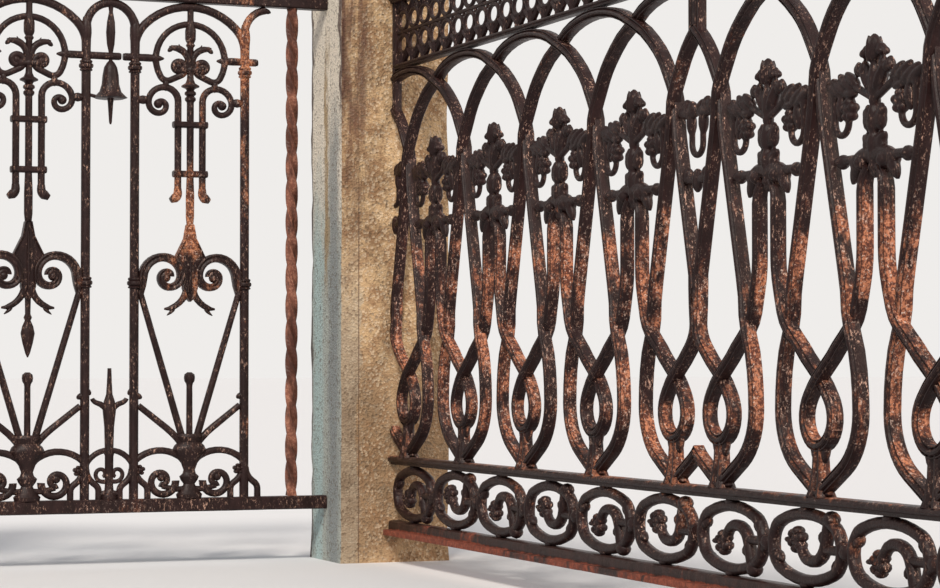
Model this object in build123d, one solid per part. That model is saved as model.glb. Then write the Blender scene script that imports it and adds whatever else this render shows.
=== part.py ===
from build123d import *
from math import acos, asin, atan2, cos, degrees, radians, sin, sqrt, tan
import os

# Corner of a cemetery fence: a square stone post carries two runs of ironwork.
# The cast arcade runs along +X, the bar-and-scroll run along -Y, and +Z is up.
# The origin is the middle of the corner post's foot. All sizes are millimetres,
# and a level is a height above that foot.

# How round the bent and turned work is: each flat stays this close to the true
# arc, and turns the bar by no more than this many degrees
BEND_SAG = 3
FLAT_TURN = 36
ROUND_SIDES = 6

# Stone posts
POST_WIDTH_X = 168
POST_WIDTH_Y = 204
POST_SHAFT = 1045
POST_CAP_RISE = 42
POST_CAP_FLAT = 60
POST_ARRIS = 6

# Cast arcade: rails and their levels
SILL_FLANGE_UNDER = 48
SILL_FLANGE_HEIGHT = 10
SILL_FLANGE_DEPTH = 46
SILL_HEIGHT = 16
SILL_DEPTH = 26
DADO_RAIL_TOP = 187
DADO_RAIL_HEIGHT = 15
DADO_RAIL_DEPTH = 30
SPRING_RAIL_UNDER = 866
SPRING_RAIL_HEIGHT = 9
SPRING_RAIL_DEPTH = 22
COPING_UNDER = 984
COPING_HEIGHT = 15
COPING_DEPTH = 30
STILE_WIDTH = 15
STILE_FOOT = 785

# Cast arcade: the interlaced bars, with leans and turns in degrees
PANELS = 2
NODES = 5
PITCH = 258
EDGE_MARGIN = 66.5
BAR_WIDTH = 14
BAR_DEPTH = 15
STEM_WIDTH = 24
EYE_RADIUS = 34
EYE_CENTRE = 282
EYE_LEAN = 42
LEG_RADIUS = 140
LEG_OFFSET = 22
BELLY_OFFSET = 94
BELLY_LEVEL = 290
BELLY_RADIUS = 80
BELLY_TURN = 60
SHOULDER_RADIUS = 300
SHOULDER_LEAN = 14
HAUNCH_RADIUS = 150
HAUNCH_TURN = 36

# Cast arcade: the foliate finials
FINIAL_SEAT = 568
FINIAL_TIP = 736
FINIAL_DEPTH = 22
BUD_HALF = 20
BUD_HEIGHT = 38
LEAF_REACH = 42
LEAF_DROP = 30
COLUMN_HALF = 11
KNUCKLE_HALF = 19
KNUCKLE_HEIGHT = 26
KNUCKLES = 2
SPRAY_LEVEL = 655
SPRAY_LEAN = 35
SPRAY_RADIUS = 70
SPRAY_REACH = 70
SPRAY_WIDTH = 13
SPRAY_END_WIDTH = 20
FLOWER_OFFSET = 52
FLOWER_LEVEL = 645
FLOWER_RADIUS = 23
HOOK_WIDTH = 14
HOOK_TOP = 688
ARM_LEVEL = 592
ARM_LEAN = 35
ARM_RADIUS = 32
ARM_REACH = 42
ARM_WIDTH = 18
ARM_END_WIDTH = 14
BUTTON_RADIUS = 12
BUTTON_PROUD = 3

# Cast arcade: friezes below and above
SCROLLS = 6
SCROLL_LENGTH = 146
SCROLL_BAR = 14
SCROLL_DEPTH = 18
SCROLL_HOOK = [(36, -110), (22, -80)]
HOOK_LEAN = -100
HOOK_END = 9
BOSS_RADIUS = 15
BOSS_OFFSET = 14
BOSS_RISE = 6
LOOP_COLUMNS = 22
LOOP_BAR = 6
LOOP_DEPTH = 14
LOOP_STALK = 12

# Bar-and-scroll run: levels and bars
BAYS = 2
BAY_PITCH = 284
BAY_WIDTH = 198
FIRST_BAR = 252
TWIST_BAR = 165
TWIST_SIZE = 16
TWIST_TURN = 720
TWIST_STEPS = 24
ROUND_BAR = 15
LOW_RAIL_UNDER = 92
HIGH_RAIL_UNDER = 978
RUN_RAIL_SIZE = 24
FORK_LEVEL = 915
ARCH_BAR = 12
ARCH_DEPTH = 13
ARCH_BITE = 1
HORN_TURN = 95
HORN_TIP = 9
HORN_END = 15
COLLAR_RADIUS = 11
COLLAR_HEIGHT = 18
UPPER_COLLAR = 861
LOWER_COLLAR = 488

# Bar-and-scroll run: rings, cross bars and rods, each curl as bends of a radius and a turn
STRIP_DEPTH = 12
RING_RADIUS = 62
RING_CENTRE = 879
RING_TURN = 125
RING_CURL = [(20, 105), (13, 170)]
RING_BAR = 9
TIE_HALF = 14
TIE_TOP = 867
TIE_HEIGHT = 11
SPRIG_LEAN = 62
SPRIG_CURL = [(28, -75), (14, 60)]
SPRIG_WIDTH = 10
SPRIG_TIP = 6
CROSS_BAR = 10
CROSS_TIP = 48
CROSS_POINT = 8
CROSS_STUB = 30
ROD_BAR = 9
ROD_OFFSET = 22
ROD_CURL_LEVEL = 806
ROD_CURL = [(22, -90), (30, -90), (20, -90), (14, -90), (9, -120)]
UPPER_BAND = 765
LOWER_BAND = 679
BAND_HALF = 31
BAND_HEIGHT = 8
BAND_DEPTH = 18
SPLAY_LEVEL = 648
SPLAY_RADIUS = 12
SPLAY_TURN = 55
SPLAY_LENGTH = 8
SPLAY_WIDTH = 12
SPIRE_LEVEL = 926
SPIRE_RADIUS = 7
KNOP_LEVEL = 832
KNOP_RADIUS = 15
KNOP_HEIGHT = 8

# Bar-and-scroll run: spade, heart scrolls, fan, vase, bell and tulip
SPADE_TOP = 590
SPADE_LEVEL = 536
SPADE_HALF = 27
SPADE_NECK = 6
SPADE_TAIL = 462
SPADE_WAIST = 11
HEART_CURL = [(38, 90), (34, 90), (22, 90), (17, 90), (12, 90), (8, 90)]
HEART_RISE = 10
HEART_BAR = 10
PRONG_LEVEL = 474
PRONG_RADIUS = 46
PRONG_TURN = 70
PRONG_WIDTH = 12
PRONG_TIP = 6
SPEAR_TIP = 359
SPEAR_SHOULDER = 404
SPEAR_HALF = 12
SPEAR_NECK = 4
FAN_FOOT = 222
FAN_BAR = 9
BRACE_OFFSET = 11
SHORT_BRACE_OFFSET = 20
SHORT_BRACE_LEAN = 50
SHORT_BRACE_RADIUS = 150
SHORT_BRACE_TURN = 14
SHORT_BRACE_LENGTH = 60
BALL_RADIUS = 9
BALL_LEVEL = 320
VASE_FOOT = 14
VASE_WAIST = 9
VASE_WAIST_LEVEL = 160
VASE_HALF = 26
VASE_SHOULDER_LEVEL = 196
BASE_STRIP_LEVEL = 182
BASE_STRIP_LEAN = 40
BASE_STRIP_RADIUS = 64
BASE_STRIP_TURN = 82
BASE_BAR = 10
BASE_CURL_OFFSET = 24
BASE_CURL_LEVEL = 144
BASE_CURL = [(23, 90), (22, 90), (18, 90), (13, 90), (9, 100)]
BELL_TOP = 869
BELL_RIM = 806
BELL_RADIUS = 26
BELL_NECK = 9
BELL_STEM = 4
BELL_SPIKE = 762
TULIP_TIP = 341
TULIP_CUP = 278
TULIP_NECK = 260
TULIP_HALF = 11
TULIP_STEM = 4
PETAL_LEVEL = 270
PETAL_CURL = [(26, -60), (14, 50)]
PETAL_WIDTH = 9
PETAL_TIP = 5
TULIP_STRIP_LEVEL = 200
TULIP_STRIP_TURN = 60
TULIP_CURL_LEVEL = 146
TULIP_CURL = [(13, 90), (10, 90), (7, 120)]
TULIP_CURL_BAR = 8
TULIP_FOOT = 8

# What follows from the sizes
POST_HALF_X = POST_WIDTH_X / 2
POST_HALF_Y = POST_WIDTH_Y / 2
PANEL_WIDTH = PITCH * (NODES - 1) + 2 * EDGE_MARGIN
ARCADE_LENGTH = PANELS * PANEL_WIDTH
SILL_TOP = SILL_FLANGE_UNDER + SILL_FLANGE_HEIGHT + SILL_HEIGHT
DADO_RAIL_UNDER = DADO_RAIL_TOP - DADO_RAIL_HEIGHT
SPRING_RAIL_TOP = SPRING_RAIL_UNDER + SPRING_RAIL_HEIGHT
LOW_RAIL_TOP = LOW_RAIL_UNDER + RUN_RAIL_SIZE
ARCH_CROWN = HIGH_RAIL_UNDER - ARCH_BAR / 2 + ARCH_BITE
RUN_LENGTH = 2 * (FIRST_BAR - POST_HALF_Y) + BAY_PITCH * (BAYS - 1) + BAY_WIDTH
RUN_START = POST_HALF_Y
RUN_END = POST_HALF_Y + RUN_LENGTH
GAP_HALF = (BAY_PITCH - BAY_WIDTH) / 2
BAY_AXES = [FIRST_BAR + BAY_WIDTH / 2 + BAY_PITCH * bay for bay in range(BAYS)]
BAR_PLACES = sorted(axis + side * BAY_WIDTH / 2 for axis in BAY_AXES for side in (-1, 1))
GAP_AXES = [axis + BAY_PITCH / 2 for axis in BAY_AXES[:-1]]

# The arcade is drawn looking along +Y, and the run along +X, as distances from the corner
ARCADE_PLANE = Plane.XZ
RUN_PLANE = Plane(origin=(0, 0, 0), x_dir=(0, -1, 0), z_dir=(-1, 0, 0))


class Strand:
    """A flat bar drawn as a centre line of straight runs and bends, each tangent to the last.

    A bend is made in short flats, so that the bar keeps few sides.
    """

    def __init__(self, x, z, heading):
        self.x = x
        self.z = z
        self.heading = heading
        self.stations = [(x, z, heading)]

    def straight(self, length):
        self.x += length * cos(radians(self.heading))
        self.z += length * sin(radians(self.heading))
        self.stations.append((self.x, self.z, self.heading))
        return self

    def bend(self, radius, angle):
        """Turn by an angle, to the left where it is positive, on an arc of the given radius."""
        side = 1 if angle > 0 else -1
        centre_x = self.x - side * radius * sin(radians(self.heading))
        centre_z = self.z + side * radius * cos(radians(self.heading))
        flat = min(FLAT_TURN, degrees(2 * acos(max(0, 1 - BEND_SAG / radius))))
        flats = max(1, round(abs(angle) / flat))
        start = self.heading
        for step in range(1, flats + 1):
            self.heading = start + angle * step / flats
            self.x = centre_x + side * radius * sin(radians(self.heading))
            self.z = centre_z - side * radius * cos(radians(self.heading))
            self.stations.append((self.x, self.z, self.heading))
        return self

    def curl(self, bends):
        for radius, angle in bends:
            self.bend(radius, angle)
        return self

    def face(self, width, end_width=None):
        """The bar's outline, tapered evenly along it when an end width is given."""
        end_width = width if end_width is None else end_width
        last = len(self.stations) - 1
        left, right = [], []
        for step, (x, z, heading) in enumerate(self.stations):
            half = (width + (end_width - width) * step / last) / 2
            across = Vector(-sin(radians(heading)), cos(radians(heading)))
            left.append(Vector(x, z) + across * half)
            right.append(Vector(x, z) - across * half)
        return outline(*left, *reversed(right))


def outline(*points):
    return make_face(Polyline(*points, close=True))


def even_outline(*half):
    """A closed outline from the points of its right half, top to bottom, the left to match."""
    return outline(*half, *[(-x, z) for x, z in reversed(half) if x])


def box_face(x0, x1, z0, z1):
    return Pos((x0 + x1) / 2, (z0 + z1) / 2) * Rectangle(abs(x1 - x0), z1 - z0)


def disc(x, z, radius, sides=ROUND_SIDES):
    return Pos(x, z) * RegularPolygon(radius, sides)


def oval(half_wide, half_high, sides):
    turns = [radians(360 * corner / sides) for corner in range(sides)]
    return outline(*[(half_wide * cos(turn), half_high * sin(turn)) for turn in turns])


def mirrored(face, axis=0):
    """The same outline on the other side of an upright axis."""
    return mirror(face, about=Plane.YZ.offset(axis))


def both_sides(face):
    return [face, mirrored(face)]


def moved(face, x, z=0):
    return Pos(x, z) * face


def joined(faces):
    return Sketch() + faces


def plate(plane, sketch, depth):
    """A flat outline given its thickness, half to each side of the plane."""
    return extrude(plane * sketch, amount=depth / 2, both=True)


def bar_along(plane, x0, x1, z0, height, depth):
    return plate(plane, box_face(x0, x1, z0, z0 + height), depth)


def apart(pieces):
    """Like pieces kept as separate solids of one shape."""
    return Compound([solid for piece in pieces for solid in piece.solids()])


def write(name, shape):
    shape.label = name
    export_step(shape, f"parts/{name}.step")


# Stone posts

def stone_post():
    shaft = extrude(Rectangle(POST_WIDTH_X, POST_WIDTH_Y), POST_SHAFT)
    shaft = chamfer(shaft.edges().filter_by(Axis.Z), POST_ARRIS)
    foot_x = POST_WIDTH_X - 2 * POST_ARRIS
    foot_y = POST_WIDTH_Y - 2 * POST_ARRIS
    slope = degrees(atan2((foot_x - POST_CAP_FLAT) / 2, POST_CAP_RISE))
    cap = extrude(Plane.XY.offset(POST_SHAFT) * Rectangle(foot_x, foot_y), POST_CAP_RISE, taper=slope)
    return shaft + cap


# Cast arcade, drawn from a panel's first edge

def eye_crossing():
    """Level at which the two bars of an eye cross above it."""
    return EYE_CENTRE + EYE_RADIUS / cos(radians(EYE_LEAN))


def node_crossing():
    """Level at which the two outer bars meet over a node."""
    shoulder_x = BELLY_OFFSET - SHOULDER_RADIUS * (1 - cos(radians(SHOULDER_LEAN)))
    shoulder_z = BELLY_LEVEL + SHOULDER_RADIUS * sin(radians(SHOULDER_LEAN))
    return shoulder_z + shoulder_x / tan(radians(SHOULDER_LEAN))


def eye():
    """A bar from under the eye, round it and up to where it leaves for the other side."""
    return Strand(0, EYE_CENTRE - EYE_RADIUS, 0).bend(EYE_RADIUS, 180 - EYE_LEAN)


def eye_and_leg():
    """The bar of an eye carried across and up to the finial."""
    strand = eye()
    swing = LEG_RADIUS * (1 - sin(radians(EYE_LEAN)))
    run = PITCH / 2 - LEG_OFFSET - swing + strand.x
    strand.straight(run / cos(radians(EYE_LEAN)))
    strand.bend(LEG_RADIUS, EYE_LEAN - 90)
    strand.straight(FINIAL_SEAT - strand.z)
    return strand.face(BAR_WIDTH)


def eye_and_edge():
    """The same bar beside a panel's edge, where it stops against the edge bar."""
    strand = eye()
    strand.straight((EDGE_MARGIN + strand.x) / cos(radians(EYE_LEAN)))
    return strand.face(BAR_WIDTH)


def outer_foot():
    """The outer bar from its belly down to the foot of the stem."""
    strand = Strand(BELLY_OFFSET, BELLY_LEVEL, -90).bend(BELLY_RADIUS, -BELLY_TURN)
    strand.straight(strand.x / sin(radians(BELLY_TURN)))
    return strand.face(BAR_WIDTH)


def outer_bar():
    """The outer bar from its belly up to the node."""
    strand = Strand(BELLY_OFFSET, BELLY_LEVEL, 90).bend(SHOULDER_RADIUS, SHOULDER_LEAN)
    strand.straight(strand.x / sin(radians(SHOULDER_LEAN)))
    return strand.face(BAR_WIDTH)


def half_arch():
    """From a node up to the crown, which stands over the next node to the left."""
    strand = Strand(0, node_crossing(), 90 + SHOULDER_LEAN).bend(HAUNCH_RADIUS, HAUNCH_TURN)
    crown_turn = 90 - SHOULDER_LEAN - HAUNCH_TURN
    strand.bend((PITCH + strand.x) / sin(radians(crown_turn)), crown_turn)
    return strand.face(BAR_WIDTH)


def edge_bar():
    """The upright beside a panel's edge that takes the place of the leg cut away there."""
    low = eye_crossing() + (EDGE_MARGIN - 1.5 * BAR_WIDTH) * tan(radians(EYE_LEAN))
    high = node_crossing() - (EDGE_MARGIN - 0.5 * BAR_WIDTH) / tan(radians(SHOULDER_LEAN))
    return box_face(EDGE_MARGIN - BAR_WIDTH, EDGE_MARGIN, low, high + BAR_WIDTH)


def node_faces(first, last):
    """The bars about one node, with the outer legs changed where a panel's edge cuts them."""
    faces = [box_face(-STEM_WIDTH / 2, STEM_WIDTH / 2, DADO_RAIL_TOP, EYE_CENTRE - EYE_RADIUS)]
    for face in (outer_foot(), outer_bar(), half_arch()):
        faces += both_sides(face)
    # The bar that rounds the eye on one side rises on the other side of the node
    for cut, side in ((first, -1), (last, 1)):
        rising = [eye_and_edge(), mirrored(edge_bar())] if cut else [eye_and_leg()]
        faces += rising if side < 0 else [mirrored(face) for face in rising]
    return faces


def tracery_sketch():
    """The interlaced bars of a panel, fused where they cross and trimmed at its edges."""
    faces = []
    for step in range(NODES):
        axis = EDGE_MARGIN + PITCH * step
        unit = node_faces(step == 0, step == NODES - 1)
        faces += [moved(face, axis) for face in unit]
    # The neighbouring panels' arches lean in over the first and the last node
    faces.append(moved(mirrored(half_arch()), EDGE_MARGIN - PITCH))
    faces.append(moved(half_arch(), EDGE_MARGIN + PITCH * NODES))
    field = box_face(0, PANEL_WIDTH, DADO_RAIL_TOP, SPRING_RAIL_UNDER)
    foot_top = DADO_RAIL_TOP + (EDGE_MARGIN + BAR_WIDTH) / tan(radians(BELLY_TURN))
    for edge, inward in ((0, 1), (PANEL_WIDTH, -1)):
        field -= box_face(edge, edge + inward * STILE_WIDTH, STILE_FOOT, SPRING_RAIL_UNDER)
        field -= box_face(edge, edge + inward * BAR_WIDTH, foot_top, EYE_CENTRE)
    return joined(faces) & field


def finial_sketch():
    """One finial about its own axis: bud, leaves, knuckled column, flowers and lower arms."""
    leaf_level = FINIAL_TIP - LEAF_DROP
    leaf_foot = leaf_level - LEAF_DROP
    bud_foot = FINIAL_TIP - BUD_HEIGHT
    half = [(0, FINIAL_TIP), (BUD_HALF, FINIAL_TIP - BUD_HEIGHT / 2), (COLUMN_HALF, bud_foot),
            (LEAF_REACH, leaf_level), (LEAF_REACH / 2, leaf_foot), (COLUMN_HALF, leaf_foot)]
    for knuckle in range(KNUCKLES):
        level = leaf_foot - KNUCKLE_HEIGHT * (knuckle + 0.5)
        half += [(KNUCKLE_HALF, level), (COLUMN_HALF, level - KNUCKLE_HEIGHT / 2)]
    seat = LEG_OFFSET + BAR_WIDTH / 2
    half += [(COLUMN_HALF, FINIAL_SEAT + BAR_WIDTH), (seat, FINIAL_SEAT + BAR_WIDTH / 2), (seat, FINIAL_SEAT)]
    spray = Strand(0, SPRAY_LEVEL, SPRAY_LEAN).bend(SPRAY_RADIUS, -SPRAY_LEAN).straight(SPRAY_REACH)
    hook = box_face(FLOWER_OFFSET - HOOK_WIDTH / 2, FLOWER_OFFSET + HOOK_WIDTH / 2, FLOWER_LEVEL, HOOK_TOP)
    flower = disc(FLOWER_OFFSET, FLOWER_LEVEL, FLOWER_RADIUS)
    arm = Strand(0, ARM_LEVEL, -ARM_LEAN).bend(ARM_RADIUS, 2 * ARM_LEAN).bend(ARM_RADIUS, -ARM_LEAN)
    arm = arm.straight(ARM_REACH).face(ARM_WIDTH, ARM_END_WIDTH)
    faces = [even_outline(*half)]
    for face in (spray.face(SPRAY_WIDTH, SPRAY_END_WIDTH), hook, flower, arm):
        faces += both_sides(face)
    return joined(faces)


def finials(tracery):
    """The finials of one panel, seated on the legs, with arms that stop against the bars."""
    unit = finial_sketch()
    solids = []
    for step in range(NODES - 1):
        axis = EDGE_MARGIN + PITCH * (step + 0.5)
        field = box_face(axis - PITCH / 2, axis + PITCH / 2, FINIAL_SEAT, FINIAL_TIP)
        body = plate(ARCADE_PLANE, (moved(unit, axis) & field) - tracery, FINIAL_DEPTH)
        button = disc(axis, FINIAL_SEAT + BUTTON_RADIUS, BUTTON_RADIUS)
        body += plate(ARCADE_PLANE, button, FINIAL_DEPTH + 2 * BUTTON_PROUD)
        solids.append(body)
    return solids


def scroll_frieze():
    """Running scrolls between the sill and the dado rail, turned over in turn."""
    middle = (DADO_RAIL_UNDER + SILL_TOP) / 2
    spacing = PANEL_WIDTH / SCROLLS
    half_long = SCROLL_LENGTH / 2
    half_high = (DADO_RAIL_UNDER - SILL_TOP) / 2
    ring = oval(half_long, half_high, 10) - oval(half_long - SCROLL_BAR, half_high - SCROLL_BAR, 8)
    hook = Strand(half_long - SCROLL_BAR, 0, HOOK_LEAN).curl(SCROLL_HOOK).face(SCROLL_BAR, HOOK_END)
    boss = disc(-BOSS_OFFSET, BOSS_RISE, BOSS_RADIUS)
    link = box_face(half_long - SCROLL_BAR / 2, spacing / 2, -SCROLL_BAR / 2, SCROLL_BAR / 2)
    rests = box_face(-SCROLL_BAR, SCROLL_BAR, half_high - SCROLL_BAR, half_high)
    unit = joined([ring, hook, boss, rests, mirror(rests, about=Plane.XZ)] + both_sides(link))
    faces = []
    for step in range(SCROLLS):
        scroll = unit if step % 2 else mirror(unit, about=Plane.XZ)
        faces.append(moved(scroll, spacing * (step + 0.5), middle))
    return joined(faces)


def loop_frieze():
    """Two rows of pointed loops on short stalks, drawn as a pierced band."""
    low = SPRING_RAIL_TOP
    row = (COPING_UNDER - low - LOOP_STALK - LOOP_BAR) / 2
    left, right = STILE_WIDTH, PANEL_WIDTH - STILE_WIDTH
    spacing = (right - left) / LOOP_COLUMNS
    half = (spacing - LOOP_BAR) / 2
    rise = (row - LOOP_BAR) / 2
    eye_hole = outline((0, -rise), (half, 0), (0, rise), (-half, 0))
    wedge = outline((-half, 0), (half, 0), (0, LOOP_STALK))
    openings = []
    for step in range(LOOP_COLUMNS):
        x = left + spacing * (step + 0.5)
        for tier in (0.5, 1.5):
            openings.append(moved(eye_hole, x, low + LOOP_STALK + LOOP_BAR / 2 + row * tier))
        if step:
            openings.append(moved(wedge, x - spacing / 2, low))
    return box_face(left, right, low, COPING_UNDER) - joined(openings)


def build_panel(letter, start):
    """One cast panel, from its left edge at start to its right edge."""
    place = Pos(start, 0, 0)
    plane = ARCADE_PLANE
    inner_end = PANEL_WIDTH - STILE_WIDTH
    flange = bar_along(plane, 0, PANEL_WIDTH, SILL_FLANGE_UNDER, SILL_FLANGE_HEIGHT, SILL_FLANGE_DEPTH)
    sill = bar_along(plane, 0, PANEL_WIDTH, SILL_TOP - SILL_HEIGHT, SILL_HEIGHT, SILL_DEPTH)
    dado = bar_along(plane, 0, PANEL_WIDTH, DADO_RAIL_UNDER, DADO_RAIL_HEIGHT, DADO_RAIL_DEPTH)
    spring = bar_along(plane, STILE_WIDTH, inner_end, SPRING_RAIL_UNDER, SPRING_RAIL_HEIGHT,
                       SPRING_RAIL_DEPTH)
    coping = bar_along(plane, 0, PANEL_WIDTH, COPING_UNDER, COPING_HEIGHT, COPING_DEPTH)
    write(f"arcade_{letter}_bottom_rail", place * (flange + sill))
    write(f"arcade_{letter}_lower_rail", place * dado)
    write(f"arcade_{letter}_upper_rail", place * spring)
    write(f"arcade_{letter}_top_rail", place * coping)
    for side, x in (("left", 0), ("right", inner_end)):
        stile = bar_along(plane, x, x + STILE_WIDTH, STILE_FOOT, COPING_UNDER - STILE_FOOT, SPRING_RAIL_DEPTH)
        write(f"arcade_{letter}_{side}_stile", place * stile)
    tracery = tracery_sketch()
    write(f"arcade_{letter}_tracery", place * plate(plane, tracery, BAR_DEPTH))
    write(f"arcade_{letter}_finials", place * apart(finials(tracery)))
    write(f"arcade_{letter}_scroll_frieze", place * plate(plane, scroll_frieze(), SCROLL_DEPTH))
    write(f"arcade_{letter}_loop_frieze", place * plate(plane, loop_frieze(), LOOP_DEPTH))


# Bar-and-scroll run, drawn from the middle of the corner post

def ring_of_corners(radius, level, sides, turn):
    """The corners of a level polygon about the upright axis, one of them at the given turn."""
    places = [radians(turn + 360 * side / sides) for side in range(sides)]
    return [Vector(radius * cos(place), radius * sin(place), level) for place in places]


def faceted(rings):
    """A closed solid over rings of corners, its sides in flat triangles."""
    faces = [make_face(Polyline(*ring, close=True)).face() for ring in (rings[0], rings[-1])]
    for low, high in zip(rings, rings[1:]):
        for near, far in zip(range(len(low)), [*range(1, len(low)), 0]):
            for corners in ((low[near], low[far], high[near]), (low[far], high[far], high[near])):
                faces.append(make_face(Polyline(*corners, close=True)).face())
    return Solid(Shell(faces))


def turned(x, *profile):
    """A turned piece about an upright axis, from (radius, level) points, with few sides."""
    rings = [ring_of_corners(radius, level, ROUND_SIDES, 90) for radius, level in profile]
    return Pos(*(RUN_PLANE.x_dir * x)) * faceted(rings)


def round_bar(x, low, high, radius):
    return turned(x, (radius, low), (radius, high))


def collars():
    """The lowest and highest level of the two collars on each upright."""
    return [(level - COLLAR_HEIGHT / 2, level + COLLAR_HEIGHT / 2) for level in (UPPER_COLLAR, LOWER_COLLAR)]


def upright_bar(x):
    bar = round_bar(x, LOW_RAIL_TOP, FORK_LEVEL, ROUND_BAR / 2)
    for low, high in collars():
        bar += round_bar(x, low, high, COLLAR_RADIUS)
    return bar


def upright_sketch():
    """The uprights and their collars seen from the side, against which the strips stop."""
    faces = []
    for x in BAR_PLACES:
        faces.append(box_face(x - ROUND_BAR / 2, x + ROUND_BAR / 2, LOW_RAIL_TOP, FORK_LEVEL))
        faces += [box_face(x - COLLAR_RADIUS, x + COLLAR_RADIUS, low, high) for low, high in collars()]
    return joined(faces)


def repeated(axes, faces):
    """The same flat ornament about each of several axes, stopped against the uprights."""
    unit = joined(faces)
    return joined([moved(unit, axis) for axis in axes]) - upright_sketch()


def twisted_bar(x):
    """A square bar twisted along its whole length."""
    height = HIGH_RAIL_UNDER - LOW_RAIL_TOP
    shares = [step / TWIST_STEPS for step in range(TWIST_STEPS + 1)]
    rings = [ring_of_corners(TWIST_SIZE / sqrt(2), LOW_RAIL_TOP + height * share, 4, 45 + TWIST_TURN * share)
             for share in shares]
    return Pos(*(RUN_PLANE.x_dir * x)) * faceted(rings)


def arches_sketch():
    """Wide and narrow arches that spring from the bars, and a half arch beside each post."""
    rise = ARCH_CROWN - FORK_LEVEL
    half = BAY_WIDTH / 2
    wide_radius = (half ** 2 + rise ** 2) / (2 * rise)
    wide = Strand(0, ARCH_CROWN, 0).bend(wide_radius, -degrees(asin(half / wide_radius))).face(ARCH_BAR)
    narrow = Strand(0, ARCH_CROWN, 0).bend(GAP_HALF, -90).straight(rise - GAP_HALF).face(ARCH_BAR)
    horn = Strand(0, FORK_LEVEL, 90).straight(rise - GAP_HALF).bend(GAP_HALF, HORN_TURN).straight(HORN_TIP)
    horn = horn.face(ARCH_BAR, HORN_END)
    faces = [moved(horn, BAR_PLACES[0]), moved(mirrored(horn), BAR_PLACES[-1])]
    for arch, axes in ((wide, BAY_AXES), (narrow, GAP_AXES)):
        faces += [moved(face, axis) for axis in axes for face in both_sides(arch)]
    return joined(faces) & box_face(RUN_START, RUN_END, FORK_LEVEL, HIGH_RAIL_UNDER)


def ring_faces():
    """The open ring, its two curled ends, the tie between them and the sprig above it."""
    half_ring = Strand(0, RING_CENTRE + RING_RADIUS, 180).bend(RING_RADIUS, RING_TURN).curl(RING_CURL)
    tie = box_face(-TIE_HALF, TIE_HALF, TIE_TOP - TIE_HEIGHT, TIE_TOP)
    sprig = Strand(0, TIE_TOP, SPRIG_LEAN).curl(SPRIG_CURL).face(SPRIG_WIDTH, SPRIG_TIP)
    # The sprig starts inside the tie
    stalk = box_face(-SPRIG_WIDTH / 2, SPRIG_WIDTH / 2, TIE_TOP, TIE_TOP + SPRIG_WIDTH)
    return both_sides(half_ring.face(RING_BAR)) + [tie, stalk] + both_sides(sprig)


def side_rod_faces():
    """The two side rods: splayed feet below, curled heads above."""
    rod = Strand(ROD_OFFSET, SPLAY_LEVEL, 90).straight(ROD_CURL_LEVEL - SPLAY_LEVEL).curl(ROD_CURL)
    foot = Strand(ROD_OFFSET, SPLAY_LEVEL, -90).bend(SPLAY_RADIUS, SPLAY_TURN).straight(SPLAY_LENGTH)
    return both_sides(rod.face(ROD_BAR)) + both_sides(foot.face(ROD_BAR, SPLAY_WIDTH))


def centre_rod(x):
    """The rod in the middle of a bay, with its knops, from the arch down to the spade."""
    radius = ROD_BAR / 2
    knop_low, knop_high = KNOP_LEVEL - KNOP_HEIGHT / 2, KNOP_LEVEL + KNOP_HEIGHT / 2
    return turned(x, (radius, ARCH_CROWN - ARCH_BAR / 2), (radius, SPIRE_LEVEL + KNOP_HEIGHT),
                  (SPIRE_RADIUS, SPIRE_LEVEL), (radius, SPIRE_LEVEL - 2 * KNOP_HEIGHT),
                  (radius, knop_high + KNOP_HEIGHT / 2), (KNOP_RADIUS, knop_high), (KNOP_RADIUS, knop_low),
                  (radius, knop_low - KNOP_HEIGHT), (radius, SPADE_TOP))


def heart_faces():
    """The spade under the rod, the pair of spiral scrolls and the two prongs of its tail."""
    spade = even_outline((SPADE_NECK, SPADE_TOP), (SPADE_WAIST, (SPADE_TOP + SPADE_LEVEL) / 2),
                         (SPADE_HALF, SPADE_LEVEL), (SPADE_WAIST, (SPADE_TAIL + SPADE_LEVEL) / 2),
                         (SPADE_NECK, SPADE_TAIL))
    reach = BAY_WIDTH / 2 - ROUND_BAR / 2 - HEART_BAR / 2
    scroll = Strand(reach, LOWER_COLLAR, 90).straight(HEART_RISE).curl(HEART_CURL)
    prong = Strand(0, PRONG_LEVEL, -90).bend(PRONG_RADIUS, PRONG_TURN).face(PRONG_WIDTH, PRONG_TIP)
    return [spade] + both_sides(scroll.face(HEART_BAR)) + both_sides(prong)


def spear_face():
    """The spear that hangs from a spade's tail."""
    return even_outline((SPEAR_NECK, SPADE_TAIL), (SPEAR_NECK, (SPADE_TAIL + SPEAR_SHOULDER) / 2),
                        (SPEAR_HALF, SPEAR_SHOULDER), (0, SPEAR_TIP))


def fan_faces():
    """Straight braces that spread from the foot of a bay to its bars, and the stem with a ball."""
    top_x = BAY_WIDTH / 2 - ROUND_BAR / 2
    top_z = LOWER_COLLAR - COLLAR_HEIGHT / 2 - FAN_BAR
    run = Vector(top_x - BRACE_OFFSET, top_z - FAN_FOOT)
    lean = degrees(asin(run.Y / run.length))
    long_brace = Strand(BRACE_OFFSET, FAN_FOOT, lean).straight(run.length).face(FAN_BAR)
    short_brace = Strand(SHORT_BRACE_OFFSET, FAN_FOOT, SHORT_BRACE_LEAN)
    short_brace = short_brace.bend(SHORT_BRACE_RADIUS, -SHORT_BRACE_TURN).straight(SHORT_BRACE_LENGTH)
    stem = box_face(-FAN_BAR / 2, FAN_BAR / 2, FAN_FOOT, BALL_LEVEL)
    ball = disc(0, BALL_LEVEL, BALL_RADIUS)
    return both_sides(long_brace) + both_sides(short_brace.face(FAN_BAR)) + [stem, ball]


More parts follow.
